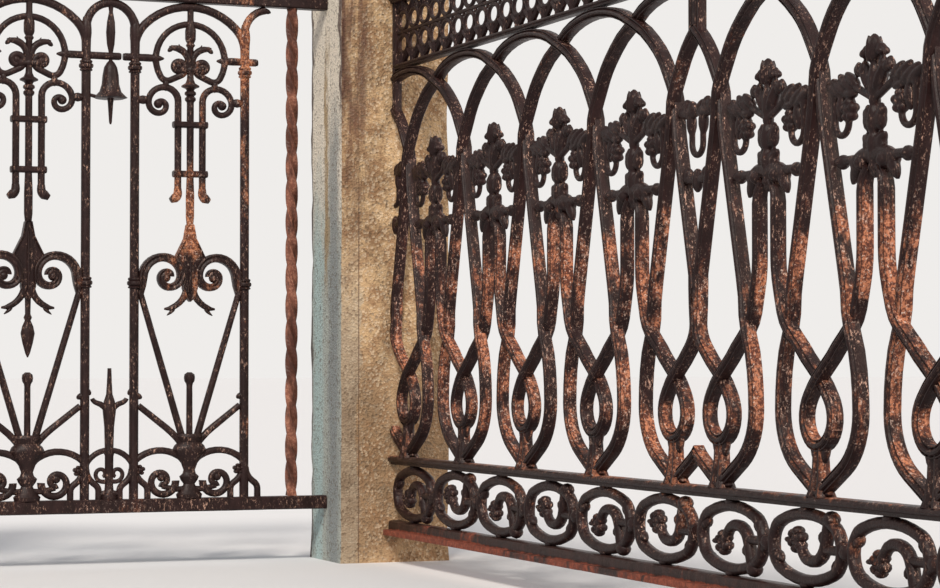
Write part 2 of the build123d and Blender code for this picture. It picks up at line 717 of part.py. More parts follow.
def base_faces():
    """The vase at the foot of a bay, the strip arched over each volute, and the volutes."""
    vase = even_outline((VASE_HALF, FAN_FOOT), (VASE_HALF, VASE_SHOULDER_LEVEL),
                        (VASE_WAIST, VASE_WAIST_LEVEL), (VASE_FOOT, LOW_RAIL_TOP))
    strip = Strand(VASE_FOOT, BASE_STRIP_LEVEL, BASE_STRIP_LEAN).bend(BASE_STRIP_RADIUS, -BASE_STRIP_TURN)
    volute = Strand(BASE_CURL_OFFSET, BASE_CURL_LEVEL, -90).curl(BASE_CURL)
    stay = box_face(0, BASE_CURL_OFFSET, BASE_CURL_LEVEL, BASE_CURL_LEVEL + BASE_BAR)
    return [vase] + both_sides(strip.face(BASE_BAR)) + both_sides(volute.face(BASE_BAR)) + both_sides(stay)


def bell_drop(x):
    """A spindle hung from a narrow arch, ending in a bell and its spike."""
    fall = BELL_TOP - BELL_RIM
    return turned(x, (BELL_STEM, ARCH_CROWN - ARCH_BAR / 2), (BELL_STEM, BELL_TOP + BELL_NECK),
                  (BELL_NECK, BELL_TOP), (BELL_RADIUS / 2, BELL_RIM + fall / 2),
                  (BELL_RADIUS, BELL_RIM), (BELL_STEM, BELL_RIM + BELL_STEM), (BELL_STEM / 2, BELL_SPIKE))


def tulip_faces():
    """A three-pointed tulip on a stem, with the small strip arched over its foot."""
    stem = box_face(-TULIP_STEM, TULIP_STEM, LOW_RAIL_TOP, TULIP_CUP)
    cup = even_outline((TULIP_STEM / 2, TULIP_TIP), (TULIP_STEM, (TULIP_TIP + TULIP_CUP) / 2),
                       (TULIP_HALF, TULIP_CUP), (TULIP_STEM, TULIP_NECK))
    petal = Strand(0, PETAL_LEVEL, 80).curl(PETAL_CURL).face(PETAL_WIDTH, PETAL_TIP)
    strip = Strand(0, TULIP_STRIP_LEVEL, 0).bend(GAP_HALF, -TULIP_STRIP_TURN).face(BASE_BAR)
    curl = Strand(0, TULIP_CURL_LEVEL, 0).straight(TULIP_HALF).curl(TULIP_CURL).face(TULIP_CURL_BAR)
    foot = box_face(-GAP_HALF, GAP_HALF, LOW_RAIL_TOP, LOW_RAIL_TOP + TULIP_FOOT)
    return [stem, cup, foot] + both_sides(petal) + both_sides(strip) + both_sides(curl)


def cross_sketch():
    """Short level bars that join the uprights, point into the rings and stand out at the ends."""
    half = CROSS_BAR / 2
    low, high = RING_CENTRE - half, RING_CENTRE + half
    faces = []
    pointed = outline((CROSS_TIP, RING_CENTRE), (CROSS_TIP + CROSS_POINT, high), (BAY_WIDTH / 2, high),
                      (BAY_WIDTH / 2, low), (CROSS_TIP + CROSS_POINT, low))
    for axis in BAY_AXES:
        faces += [moved(face, axis) for face in both_sides(pointed)]
    for axis in GAP_AXES:
        faces.append(box_face(axis - GAP_HALF, axis + GAP_HALF, low, high))
    faces.append(box_face(BAR_PLACES[0] - CROSS_STUB, BAR_PLACES[0], low, high))
    faces.append(box_face(BAR_PLACES[-1], BAR_PLACES[-1] + CROSS_STUB, low, high))
    return joined(faces) - upright_sketch()


def cut_by(shape, cutters):
    for cutter in cutters:
        shape -= cutter
    return shape


def build_scroll_run():
    plane = RUN_PLANE
    for name, level in (("top", HIGH_RAIL_UNDER), ("bottom", LOW_RAIL_UNDER)):
        rail = bar_along(plane, RUN_START, RUN_END, level, RUN_RAIL_SIZE, RUN_RAIL_SIZE)
        write(f"scroll_run_{name}_rail", rail)
    write("scroll_run_upright_bars", apart([upright_bar(x) for x in BAR_PLACES]))
    write("scroll_run_near_twisted_bar", twisted_bar(TWIST_BAR))
    write("scroll_run_far_twisted_bar", twisted_bar(RUN_START + RUN_END - TWIST_BAR))
    arches = plate(plane, arches_sketch(), ARCH_DEPTH)
    write("scroll_run_arches", arches)

    # What hangs from an arch is shaped to its underside
    bells = [bell_drop(axis) - arches for axis in GAP_AXES]
    rods = [centre_rod(axis) - arches for axis in BAY_AXES]
    write("scroll_run_bell_drop", apart(bells))
    write("scroll_run_centre_rods", apart(rods))
    rings = repeated(BAY_AXES, ring_faces())
    cross = plate(plane, cross_sketch() - rings, CROSS_BAR)
    write("scroll_run_cross_bars", apart([cut_by(cross, bells)]))
    write("scroll_run_rings", apart([cut_by(plate(plane, rings, STRIP_DEPTH), rods)]))
    side_rods = cut_by(plate(plane, repeated(BAY_AXES, side_rod_faces()) - rings, STRIP_DEPTH), rods)
    write("scroll_run_side_rods", apart([side_rods]))
    band = box_face(-BAND_HALF, BAND_HALF, -BAND_HEIGHT / 2, BAND_HEIGHT / 2)
    band_faces = [moved(band, axis, level) for axis in BAY_AXES for level in (UPPER_BAND, LOWER_BAND)]
    bands = cut_by(plate(plane, joined(band_faces), BAND_DEPTH), rods + [side_rods])
    write("scroll_run_bands", apart([bands]))

    # The first bay has lost its spear
    hearts = repeated(BAY_AXES, heart_faces()) + repeated(BAY_AXES[1:], [spear_face()])
    write("scroll_run_heart_scrolls", apart([plate(plane, hearts, STRIP_DEPTH)]))
    field = box_face(RUN_START, RUN_END, LOW_RAIL_TOP, HIGH_RAIL_UNDER)
    bases = repeated(BAY_AXES, base_faces()) & field
    write("scroll_run_base_scrolls", apart([plate(plane, bases, STRIP_DEPTH)]))
    fans = repeated(BAY_AXES, fan_faces()) - bases
    write("scroll_run_fan_braces", apart([plate(plane, fans, FAN_BAR)]))
    tulips = repeated(GAP_AXES, tulip_faces()) & field
    write("scroll_run_tulip", apart([plate(plane, tulips, STRIP_DEPTH)]))


os.makedirs("parts", exist_ok=True)
write("corner_post", stone_post())
write("arcade_end_post", Pos(POST_WIDTH_X + ARCADE_LENGTH, 0, 0) * stone_post())
write("scroll_run_end_post", Pos(0, -POST_WIDTH_Y - RUN_LENGTH, 0) * stone_post())
for number, letter in enumerate("ab"[:PANELS]):
    build_panel(letter, POST_HALF_X + PANEL_WIDTH * number)
build_scroll_run()
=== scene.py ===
# %% [markdown]
# # The corner of an old iron fence
#
# Two runs of ironwork meet at a granite post. The run to the right is cast: bars that weave
# through each other under pointed arches, with a leafy finial in each arch. The run to the left
# is drawn lighter: round bars, rings, scrolls and a twisted square bar. The measured frame gives
# each piece its place. This lesson gives it its real section, its carving and its weather.

from math import acos, ceil, cos, degrees, hypot, pi, radians, sin, tan

import bmesh
import bpy
from mathutils import Matrix, Vector, noise


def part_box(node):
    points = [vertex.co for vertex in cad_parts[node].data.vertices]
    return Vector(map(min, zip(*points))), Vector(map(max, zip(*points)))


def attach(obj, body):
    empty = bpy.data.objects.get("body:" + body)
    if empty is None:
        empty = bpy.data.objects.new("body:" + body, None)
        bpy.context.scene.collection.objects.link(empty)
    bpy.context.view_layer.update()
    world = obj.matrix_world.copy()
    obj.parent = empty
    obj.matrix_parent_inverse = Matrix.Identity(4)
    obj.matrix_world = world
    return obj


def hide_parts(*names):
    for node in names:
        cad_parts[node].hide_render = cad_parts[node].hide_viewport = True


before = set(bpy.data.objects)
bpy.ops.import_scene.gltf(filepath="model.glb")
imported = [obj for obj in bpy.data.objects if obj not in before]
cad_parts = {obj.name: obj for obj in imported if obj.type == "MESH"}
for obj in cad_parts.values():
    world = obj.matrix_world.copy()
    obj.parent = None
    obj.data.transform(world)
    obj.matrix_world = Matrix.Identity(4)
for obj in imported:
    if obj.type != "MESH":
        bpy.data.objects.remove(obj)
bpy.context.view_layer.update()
MM = 0.001

# %% [markdown]
# ## Working in millimetres
#
# A smith thinks in millimetres, so each piece is drawn in them and scaled once, when it becomes
# an object. The arcade is drawn flat in X and Z, as it stands. The scroll run is drawn the same
# way and then turned a quarter about the upright axis, because it leaves the corner along -Y.

# %% Turn a bmesh into a finished piece
RUN_TURN = Matrix.Rotation(radians(-90), 4, "Z")
SHARP_EDGE = radians(38)


def millimetres(node):
    """The lowest and highest corner of a frame node, in millimetres."""
    low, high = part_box(node)
    return low / MM, high / MM


def stamp(target, source, *places):
    """Copies one bmesh into another at each of several places."""
    for place in places:
        mesh = bpy.data.meshes.new("stamp")
        source.to_mesh(mesh)
        mesh.transform(place)
        if place.determinant() < 0:
            mesh.flip_normals()
        target.from_mesh(mesh)
        bpy.data.meshes.remove(mesh)


def across(x, z=0, mirrored=False):
    """A place along the drawing, turned over left to right if it is mirrored."""
    return Matrix.Translation((x, 0, z)) @ Matrix.Diagonal((-1 if mirrored else 1, 1, 1, 1))


def both_sides(target, source):
    stamp(target, source, across(0), across(0, mirrored=True))


def stood_in_scene(name, data):
    """A new object, linked to the scene."""
    made = bpy.data.objects.new(name, data)
    bpy.context.scene.collection.objects.link(made)
    return made


def finish_piece(name, bm, finish, node, turned=False):
    """Makes the object, gives it its finish and body, and hides the frame node it stands for."""
    material, slot = finish
    if turned:
        bmesh.ops.transform(bm, matrix=RUN_TURN, verts=bm.verts)
    bmesh.ops.scale(bm, vec=(MM, MM, MM), verts=bm.verts)
    bmesh.ops.recalc_face_normals(bm, faces=bm.faces)
    for face in bm.faces:
        face.smooth = True
    for edge in bm.edges:
        edge.smooth = len(edge.link_faces) == 2 and edge.calc_face_angle() < SHARP_EDGE
    mesh = bpy.data.meshes.new(name)
    bm.to_mesh(mesh)
    bm.free()
    mesh.materials.append(material)
    piece = stood_in_scene(name, mesh)
    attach(piece, "root")
    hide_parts(node)
    print(f"{name}: {sum(len(face.vertices) - 2 for face in mesh.polygons)} triangles")


# %% [markdown]
# ## A bar is a section pushed along a line
#
# Every bar here, cast or forged, has one section all along it and runs in straights and bends.
# A curve object could carry a bevel, but its ends and tapers are hard to steer. So a strand
# starts from one face, extrudes it, and moves the new face to the next place on the line,
# turned and scaled as it goes. Spirals fall out of it: the radius simply shrinks on the way.

# %% A strand: a section extruded along straights and bends
SAGITTA = 0.25
LARGEST_STEP = 15


def extruded(bm, faces):
    """Extrudes faces, and returns the new faces and the new corners."""
    made = bmesh.ops.extrude_face_region(bm, geom=faces)["geom"]
    kinds = (bmesh.types.BMFace, bmesh.types.BMVert)
    return [[part for part in made if isinstance(part, kind)] for kind in kinds]


class Strand:
    """A bar that grows in the XZ plane from a place and a heading, in degrees from +X to +Z."""

    def __init__(self, bm, section, x, z, heading, size=1.0):
        self.bm = bm
        self.x, self.z, self.heading, self.size, self.roll = x, z, heading, size, 0.0
        self.place = self.place_here()
        corners = [bm.verts.new(self.place @ Vector((side, depth, 0))) for side, depth in section]
        self.end = [bm.faces.new(corners)]

    def place_here(self):
        turn = radians(self.heading)
        side = Vector((-sin(turn), 0, cos(turn))) * self.size
        depth = Vector((0, 1, 0)) * self.size
        along = Vector((cos(turn), 0, sin(turn)))
        place = Matrix((side, depth, along)).transposed().to_4x4() @ Matrix.Rotation(self.roll, 4, "Z")
        place.translation = (self.x, 0, self.z)
        return place

    def move(self, length):
        self.x += length * cos(radians(self.heading))
        self.z += length * sin(radians(self.heading))

    def push(self, size):
        """Extrudes the end face to where the line has come, at a new size."""
        self.size = size
        self.end, corners = extruded(self.bm, self.end)
        before, self.place = self.place, self.place_here()
        bmesh.ops.transform(self.bm, matrix=self.place @ before.inverted(), verts=corners)

    def sizes(self, size, steps):
        """The size after each step, from the present one to another."""
        start, size = self.size, self.size if size is None else size
        return [start + (size - start) * (step + 1) / steps for step in range(steps)]

    def straight(self, length, size=None, steps=1, twist=0.0):
        """Runs straight on, and may taper and twist on the way."""
        for new_size in self.sizes(size, steps):
            self.roll += radians(twist) / steps
            self.move(length / steps)
            self.push(new_size)
        return self

    def bend(self, radius, angle, size=None, end_radius=None):
        """Turns left by an angle, or right where it is negative, on a radius that may change."""
        end_radius = radius if end_radius is None else end_radius
        flat = degrees(2 * acos(1 - SAGITTA / max(radius, end_radius)))
        steps = max(2, ceil(abs(angle) / min(flat, LARGEST_STEP)))
        for step, new_size in enumerate(self.sizes(size, steps)):
            reach = radius + (end_radius - radius) * (step + 0.5) / steps
            self.heading += angle / steps / 2
            self.move(2 * reach * sin(radians(abs(angle) / steps / 2)))
            self.heading += angle / steps / 2
            self.push(new_size)
        return self

    def curl(self, bends, size):
        """A spiral from (radius, angle) bends, each running on to the next one's radius."""
        start, turned = self.size, 0
        whole = sum(abs(angle) for _, angle in bends)
        for index, (radius, angle) in enumerate(bends):
            following = bends[min(index + 1, len(bends) - 1)][0]
            turned += abs(angle)
            self.bend(radius, angle, start + (size - start) * turned / whole, (radius + following) / 2)
        return self


# %% Sections of the bars
def round_section(diameter, sides=12):
    turns = [2 * pi * (side + 0.5) / sides for side in range(sides)]
    return [(diameter / 2 * cos(turn), diameter / 2 * sin(turn)) for turn in turns]


def even_section(front, back=None):
    """A section from the points of a quarter, from the side to the middle of the face."""
    half, other = ([*quarter, *[(-side, depth) for side, depth in reversed(quarter) if side]]
                   for quarter in (front, back or front))
    return [*other, *[(side, -depth) for side, depth in reversed(half)]]


def strip_section(width, depth, rounding):
    return even_section([(width / 2, depth / 2 - rounding), (width / 2 - rounding, depth / 2)])


BEADED_FACE = [(7.4, 6.4), (6.9, 7.6), (5.6, 7.9), (4.8, 5.4), (3.6, 7), (2.4, 9.6), (0, 10.6)]
PLAIN_BACK = [(7.4, 7.2), (6.4, 8.4), (3.4, 8.7), (0, 8.8)]
BEADED_BAR = even_section(BEADED_FACE, PLAIN_BACK)
print("beaded section has", len(BEADED_BAR), "corners")

# %% [markdown]
# ## Finishes
#
# Old iron is never one colour. Dark paint clings where it was thick, rust comes through in
# blotches, and small light flakes lie strewn with painted glints. Some light and shade is painted
# too: faces towards the key light get rust mixed with painted sunlight and brighter glints, and the
# arcade's fronts get painted shade. Each finish is a stack of noises on the object's own
# coordinates, in metres, so that a blotch has its true size on every piece. Such a stack is mostly
# sums, so what a shader node gives out is wrapped as a value that adds and multiplies: then the
# stack reads as a formula, and each sign in it makes one Math node.

# %% Values that wire shader nodes
class Value:
    """What a shader node gives out. It adds and multiplies as a number does."""

    def __init__(self, socket):
        self.socket = socket

    def __add__(self, other):
        return calc("ADD", self, other)

    def __sub__(self, other):
        return calc("SUBTRACT", self, other)

    def __mul__(self, other):
        return calc("MULTIPLY", self, other)


def wire(socket, value):
    """Links a value to an input, or sets the input to a number, a place or a colour."""
    if isinstance(value, Value):
        socket.id_data.links.new(value.socket, socket)
    else:
        socket.default_value = (*value, 1) if socket.type == "RGBA" else value


def wire_inputs(node, **values):
    """Wires inputs by name, with an underscore for each space."""
    for name, value in values.items():
        wire(node.inputs[name.replace("_", " ")], value)


def shader(tree, kind, *values, **named):
    """Adds a node, and wires its first inputs in order and others by name."""
    node = tree.nodes.new("ShaderNode" + kind)
    for index, value in enumerate(values):
        wire(node.inputs[index], value)
    wire_inputs(node, **named)
    return node


def calc(operation, first, second):
    node = shader(first.socket.id_data, "Math", first, second)
    node.operation = operation
    return Value(node.outputs[0])


def mix(share, first, second):
    """Mixes two colours, or a colour and what another node gives."""
    node = shader(share.socket.id_data, "Mix", share)
    node.data_type = "RGBA"
    wire(node.inputs[6], first)
    wire(node.inputs[7], second)
    return Value(node.outputs[2])


def ramp(value, low, high):
    """0 at low, 1 at high, and smooth between."""
    node = shader(value.socket.id_data, "MapRange", value, From_Min=low, From_Max=high)
    node.interpolation_type = "SMOOTHSTEP"
    return Value(node.outputs[0])


def grain(place, scale, detail, roughness):
    return Value(shader(place.socket.id_data, "TexNoise", Vector=place, Scale=scale, Detail=detail,
                        Roughness=roughness).outputs[0])


def seen_from(place, centre=(0, 0, 0), scale=(1, 1, 1)):
    """The same coordinates from another middle, squeezed along an axis for streaks."""
    shift = [-along * share for along, share in zip(centre, scale)]
    node = shader(place.socket.id_data, "Mapping", Vector=place, Location=shift, Scale=scale)
    return Value(node.outputs[0])


def parts(vector):
    """The X, Y and Z of a vector."""
    return [Value(part) for part in shader(vector.socket.id_data, "SeparateXYZ", vector).outputs]


def bump(height, strength, distance):
    node = shader(height.socket.id_data, "Bump", Strength=strength, Distance=distance, Height=height)
    return Value(node.outputs[0])


def new_material(name):
    """A material, its own shader, and the place and the facing of each point."""
    material = bpy.data.materials.new(name)
    material.use_nodes = True
    tree = material.node_tree
    tree.nodes.clear()
    surface = shader(tree, "BsdfPrincipled")
    shader(tree, "OutputMaterial", Value(surface.outputs[0]))
    coords = shader(tree, "TexCoord").outputs
    return material, surface, Value(coords["Object"]), Value(coords["Normal"])


# %% Old iron: paint, rust, bright flakes
# How fine each noise is, in waves to the metre
BROAD, SCATTER, BLOTCH, TINT, CRUMB, STREWN, SPECK, PIT = 7, 30, 62, 120, 210, 290, 330, 900
HANGING = (1, 1, 0.42)


def iron_finish(name, slot, paint, deep_rust, bright_rust, flake, rust_from, rust_to, flaking, flecks_and_glints,
                low_rust=0.0, low_band=(0.62, 0.4), low_end=(-2.0, -1.0), sun_side_rust_and_light=0.0, shade=0.0,
                patches=()):
    """Painted iron gone to rust. Lower rust_from and rust_to mean more rust.

    A patch is a place in metres, how far it reaches, how many times taller than wide it is,
    and how much rust it adds.
    """
    material, surface, place, facing = new_material(name)
    height = parts(place)[2]
    side_x, side_y, side_z = parts(facing)
    streaky = seen_from(place, scale=HANGING)
    blotch = grain(streaky, BLOTCH, 9, 0.68)
    speck = grain(place, SPECK, 4, 0.6)

    # Rust gathers low down. On the sides that face +X and up, the key light's side, the extra orange is
    # partly rust and partly painted sunlight
    low = ramp(height, *low_band) * ramp(height, *low_end)
    toward_light_and_weather = side_z * 0.75 + side_x
    rust_and_painted_sun = ramp(toward_light_and_weather, -0.1, 0.8) * low
    spread = grain(place, BROAD, 3, 0.5) * 0.9 + blotch - 0.37 + low * low_rust + rust_and_painted_sun * sun_side_rust_and_light
    for centre, reach, tall, amount in patches:
        away = shader(surface.id_data, "VectorMath", seen_from(place, centre, (1, 1, 1 / tall)))
        away.operation = "LENGTH"
        spread += ramp(Value(away.outputs["Value"]), reach, reach * 0.3) * amount
    rusted = ramp(spread, rust_from, rust_to)
    tint = speck * 0.6 + grain(place, TINT, 4, 0.6) * 0.5
    rust = mix(ramp(tint, 0.5, 0.64), deep_rust, bright_rust)
    painted = mix(ramp(blotch, 0.35, 0.7), [tone * 0.5 for tone in paint], paint)
    colour = mix(rusted, painted, rust)

    # Flakes: thin bright crumbs where paint lets go, and light flecks mixed with painted glints,
    # which are painted brighter on the faces towards the key light
    crumbs = ramp(grain(place, CRUMB, 8, 0.72), 0.57, 0.63) * ramp(spread, rust_from - 0.16, rust_to)
    crumbs = crumbs * flaking
    colour = mix(crumbs, colour, flake)
    flecks_and_painted_glints = ramp(grain(streaky, STREWN, 7, 0.8), 0.55, 0.62)
    flecks_and_painted_glints = flecks_and_painted_glints * ramp(grain(place, SCATTER, 4, 0.6), 0.42, 0.62)
    painted_light_side = ramp(toward_light_and_weather, 0, 0.9) * 0.7 + 0.3
    between = [(one + other) / 2 for one, other in zip(bright_rust, flake)]
    colour = mix(flecks_and_painted_glints * painted_light_side * flecks_and_glints, colour, between)

    # Painted shade: the front faces, turned away from the key light, are darkened towards the paint's darkest
    # tone
    painted_front_shade = ramp(side_y, -0.2, -0.7) * shade
    colour = mix(painted_front_shade, colour, [tone * 0.4 for tone in paint])
    relief = blotch * 0.9 + speck * 0.35 + grain(place, PIT, 3, 0.6) * 0.12 + crumbs * 0.3
    wire_inputs(surface, Base_Color=colour, Roughness=rusted * 0.36 + (speck * 0.25 + 0.28),
                Specular_IOR_Level=0.2, Normal=bump(relief, 0.55, 0.0022))
    return material, slot


# %% The four iron finishes
BAY_RUST = (((0, -0.351, 0.66), 0.055, 1.2, 0.3), ((0, -0.351, 0.575), 0.05, 1.2, 0.2),
            ((0, -0.351, 0.51), 0.13, 1, 0.17), ((0, -0.351, 0.75), 0.05, 1.6, 0.2),
            ((0, -0.252, 0.82), 0.035, 8, 0.22), ((0, -0.252, 0.36), 0.03, 9, 0.1),
            ((0, -0.33, 0.87), 0.09, 1.2, 0.2))
ARCADE_RUST = (((1.108, 0, 0.25), 0.04, 1.5, 0.3), ((1.425, 0, 0.36), 0.035, 4, 0.16),
               ((1.692, 0, 0.43), 0.03, 5, 0.26), ((1.75, 0, 0.44), 0.03, 5, 0.26),
               ((1.43, 0, 0.43), 0.02, 4, 0.2), ((1.534, 0, 0.46), 0.025, 3, 0.22))
# The cast arcade gets painted shade on its fronts, and rust mixed with painted sunlight on the sides towards
# the key light
CAST_IRON = iron_finish(
    "old_cast_iron", "cast_iron", paint=(0.031, 0.0125, 0.0117), deep_rust=(0.1, 0.033, 0.022),
    bright_rust=(0.52, 0.2, 0.105), flake=(0.9, 0.66, 0.54), rust_from=0.78, rust_to=1.0, flaking=0.8,
    flecks_and_glints=1.0, low_band=(0.66, 0.48), low_end=(0.05, 0.2), sun_side_rust_and_light=0.26, shade=0.5,
    patches=ARCADE_RUST)
SILL_IRON = iron_finish(
    "rust_red_iron", "sill_iron", paint=(0.04, 0.018, 0.015), deep_rust=(0.17, 0.048, 0.03),
    bright_rust=(0.3, 0.085, 0.05), flake=(0.5, 0.24, 0.16), rust_from=0.68, rust_to=0.9, flaking=0.3,
    flecks_and_glints=0.3, low_rust=0.3, low_band=(0.062, 0.0585))
WROUGHT_IRON = iron_finish(
    "black_wrought_iron", "wrought_iron", paint=(0.031, 0.0145, 0.0135), deep_rust=(0.14, 0.045, 0.024),
    bright_rust=(0.62, 0.26, 0.13), flake=(0.85, 0.64, 0.54), rust_from=0.76, rust_to=1.0, flaking=0.8,
    flecks_and_glints=0.65, patches=BAY_RUST)
TWISTED_IRON = iron_finish(
    "brown_twisted_iron", "twisted_iron", paint=(0.15, 0.055, 0.036), deep_rust=(0.24, 0.09, 0.058),
    bright_rust=(0.42, 0.19, 0.12), flake=(0.5, 0.28, 0.2), rust_from=0.5, rust_to=0.8, flaking=0.2,
    flecks_and_glints=0.2)
IRON_FINISHES = (CAST_IRON, SILL_IRON, WROUGHT_IRON, TWISTED_IRON)
print("iron finishes:", ", ".join(material.name for material, _ in IRON_FINISHES))

# %% [markdown]
# ## Granite
#
# The posts are coarse sandy granite. Its grains are cells a few millimetres across, pale,
# rusty and dark. Two faces have weathered apart: lime, an ochre run and dark specks on the face
# that the scroll run leaves, and brown stains beside a hairline on the face that the arcade
# leaves. Each stain is a band across the face whose edges wander with a noise. The bands are
# measured from the post's own middle, so every post takes its own copy of the finish.

# %% Granite with lime and stains
STONE_CELLS = 260.0
DOWNWARD = (1, 1, 0.3)
SAND, LIGHT_SAND, PALE_GRAIN, DARK_GRAIN = (
    (0.34, 0.2, 0.105), (0.62, 0.42, 0.235), (0.76, 0.6, 0.42), (0.13, 0.085, 0.05))
WORN_STRIP, BROWN_STAIN, HAIRLINE, DAMP = (
    (0.47, 0.4, 0.3), (0.12, 0.055, 0.04), (0.1, 0.045, 0.03), (0.13, 0.075, 0.045))
LOW_LIME, CREAM_LIME, GREY_LIME, BLUE_LIME = (
    (0.44, 0.46, 0.41), (0.86, 0.77, 0.63), (0.26, 0.28, 0.28), (0.47, 0.6, 0.58))
OCHRE, DARK_FLECK, CORNER_SHADOW, IRON_STAIN = (
    (0.34, 0.21, 0.075), (0.07, 0.05, 0.04), (0.055, 0.03, 0.03), (0.07, 0.03, 0.025))


def band(place, low, high, soft):
    """1 between two places, fading over a soft width."""
    return ramp(place, low - soft, low + soft) * ramp(place, high + soft, high - soft)


def granite_finish(name, middle):
    """Weathered granite, with its stains placed from the middle of a post."""
    material, surface, place, facing = new_material(name)
    place = seen_from(place, (middle.x * MM, middle.y * MM, 0))
    wander = grain(seen_from(place, scale=DOWNWARD), 34, 7, 0.7) * 0.07 - 0.035
    true_x, true_y, true_z = parts(place)
    x, y, height = true_x + wander, true_y + wander, wander * 4.0 + true_z
    cells = shader(surface.id_data, "TexVoronoi", Vector=place, Scale=STONE_CELLS).outputs
    tone = shader(surface.id_data, "SeparateColor", Value(cells["Color"])).outputs
    cloud = grain(place, 30, 8, 0.7)

    # The face towards +X: golden sand, a stained and paler strip beside the arris, a damp foot
    sand = mix(ramp(cloud, 0.38, 0.62), SAND, LIGHT_SAND)
    sand = mix(ramp(Value(tone[0]), 0.72, 0.8) * 0.5, sand, PALE_GRAIN)
    sand = mix(band(y, -0.12, -0.068, 0.004) * ramp(height, 0.62, 0.4) * 0.6, sand, WORN_STRIP)
    streak = grain(seen_from(place, scale=(1, 1, 0.14)), 46, 6, 0.65)
    stain = band(y, -0.1, -0.05, 0.02) * ramp(height, 0.45, 0.8) * ramp(streak, 0.36, 0.6)
    sand = mix(stain * 0.85, sand, BROWN_STAIN)
    hairline = band(true_y, -0.0695, -0.0675, 0.001) * ramp(height, 0.8, 0.6)
    sand = mix(hairline * 0.7, sand, HAIRLINE)
    sand = mix(band(height, 0.02, 0.34, 0.09) * ramp(cloud, 0.35, 0.6) * 0.6, sand, DAMP)

    # The face towards -Y: cream above, blue-white lime to the left, grey to the right, an ochre run
    lime = mix(ramp(height, 0.5, 0.74), LOW_LIME, CREAM_LIME)
    lime = mix(band(x, 0.018, 0.07, 0.012) * ramp(height, 0.86, 0.7) * 0.75, lime, GREY_LIME)
    lime = mix(band(x, -0.062, -0.012, 0.014) * ramp(height, 0.74, 0.5) * 0.85, lime, BLUE_LIME)
    lime = mix(band(x, -0.004, 0.014, 0.006) * band(height, 0.5, 0.92, 0.08) * 0.8, lime, OCHRE)
    flecks = ramp(grain(seen_from(place, scale=DOWNWARD), 130, 5, 0.7), 0.6, 0.68)
    lime = mix(flecks * 0.75, lime, DARK_FLECK)
    lime = mix(ramp(x, -0.066, -0.074) * 0.85, lime, CORNER_SHADOW)

    # Both faces: dark grains, and iron stains on the arris between the two faces
    colour = mix(ramp(parts(facing)[1], -0.35, -0.65), sand, lime)
    colour = mix(ramp(Value(tone[1]), 0.84, 0.9) * 0.5, colour, DARK_GRAIN)
    arris = band(x, 0.074, 0.09, 0.003) * ramp(true_y, -0.09, -0.098) * ramp(height, 0.7, 0.85)
    colour = mix(arris * 0.85, colour, IRON_STAIN)
    relief = grain(place, 120, 8, 0.7) + Value(cells["Distance"]) * 0.7
    wire_inputs(surface, Base_Color=colour, Roughness=0.92, Specular_IOR_Level=0.25,
                Normal=bump(relief, 0.8, 0.004))
    return material, "granite"


# %% [markdown]
# ## The stone posts
#
# A dressed granite post is a square shaft with worn arrises and a low cap. A plain block has
# edges no mason leaves, so the block is cut fine, its arrises are rounded, and every corner is
# worn back by a noise that bites hardest at the edges. It never grows past the frame's block.

# %% Build a worn post over each frame post
POST_NODES = ("corner_post", "arcade_end_post", "scroll_run_end_post")
SHAFT_CUTS = 46
FACE_CUTS = 9
WEAR_DEPTH = 5.0
WEAR_WAVE = 60
# How fast the finer layers of the noise fade, how much finer each one is, and how many there are
WEAR_LAYERS = (0.6, 2.1, 5)
ARRIS_BAND = 16.0
# The share of the wear that reaches a flat face, the least bite, and how far a cap wears down
FACE_WEAR = 0.12
LEAST_BITE = 0.05
CAP_WEAR = 0.25


def climb(edge):
    return abs(edge.verts[0].co.z - edge.verts[1].co.z)


def post_block(low, high, shoulder, inset):
    """A shaft up to its shoulder and a cap that draws in by an inset, cut into small faces."""
    middle, size = (low + high) / 2, high - low
    bm = bmesh.new()
    bmesh.ops.create_cube(bm, size=1.0)
    bmesh.ops.scale(bm, vec=(size.x, size.y, shoulder), verts=bm.verts)
    bmesh.ops.translate(bm, vec=(middle.x, middle.y, shoulder / 2), verts=bm.verts)
    top = [face for face in bm.faces if face.normal.z > 0.5]
    _, cap = extruded(bm, top)
    bmesh.ops.delete(bm, geom=top, context="FACES_ONLY")
    bmesh.ops.translate(bm, vec=(0, 0, high.z - shoulder), verts=cap)
    bmesh.ops.scale(bm, vec=(1 - 2 * inset / size.x, 1 - 2 * inset / size.y, 1), verts=cap,
                    space=Matrix.Translation(-middle))
    upright = [edge for edge in bm.edges if climb(edge) > shoulder / 2]
    bmesh.ops.subdivide_edges(bm, edges=upright, cuts=SHAFT_CUTS, use_grid_fill=True)
    level = [edge for edge in bm.edges if edge not in upright and climb(edge) < 1]
    bmesh.ops.subdivide_edges(bm, edges=level, cuts=FACE_CUTS, use_grid_fill=True)
    return bm


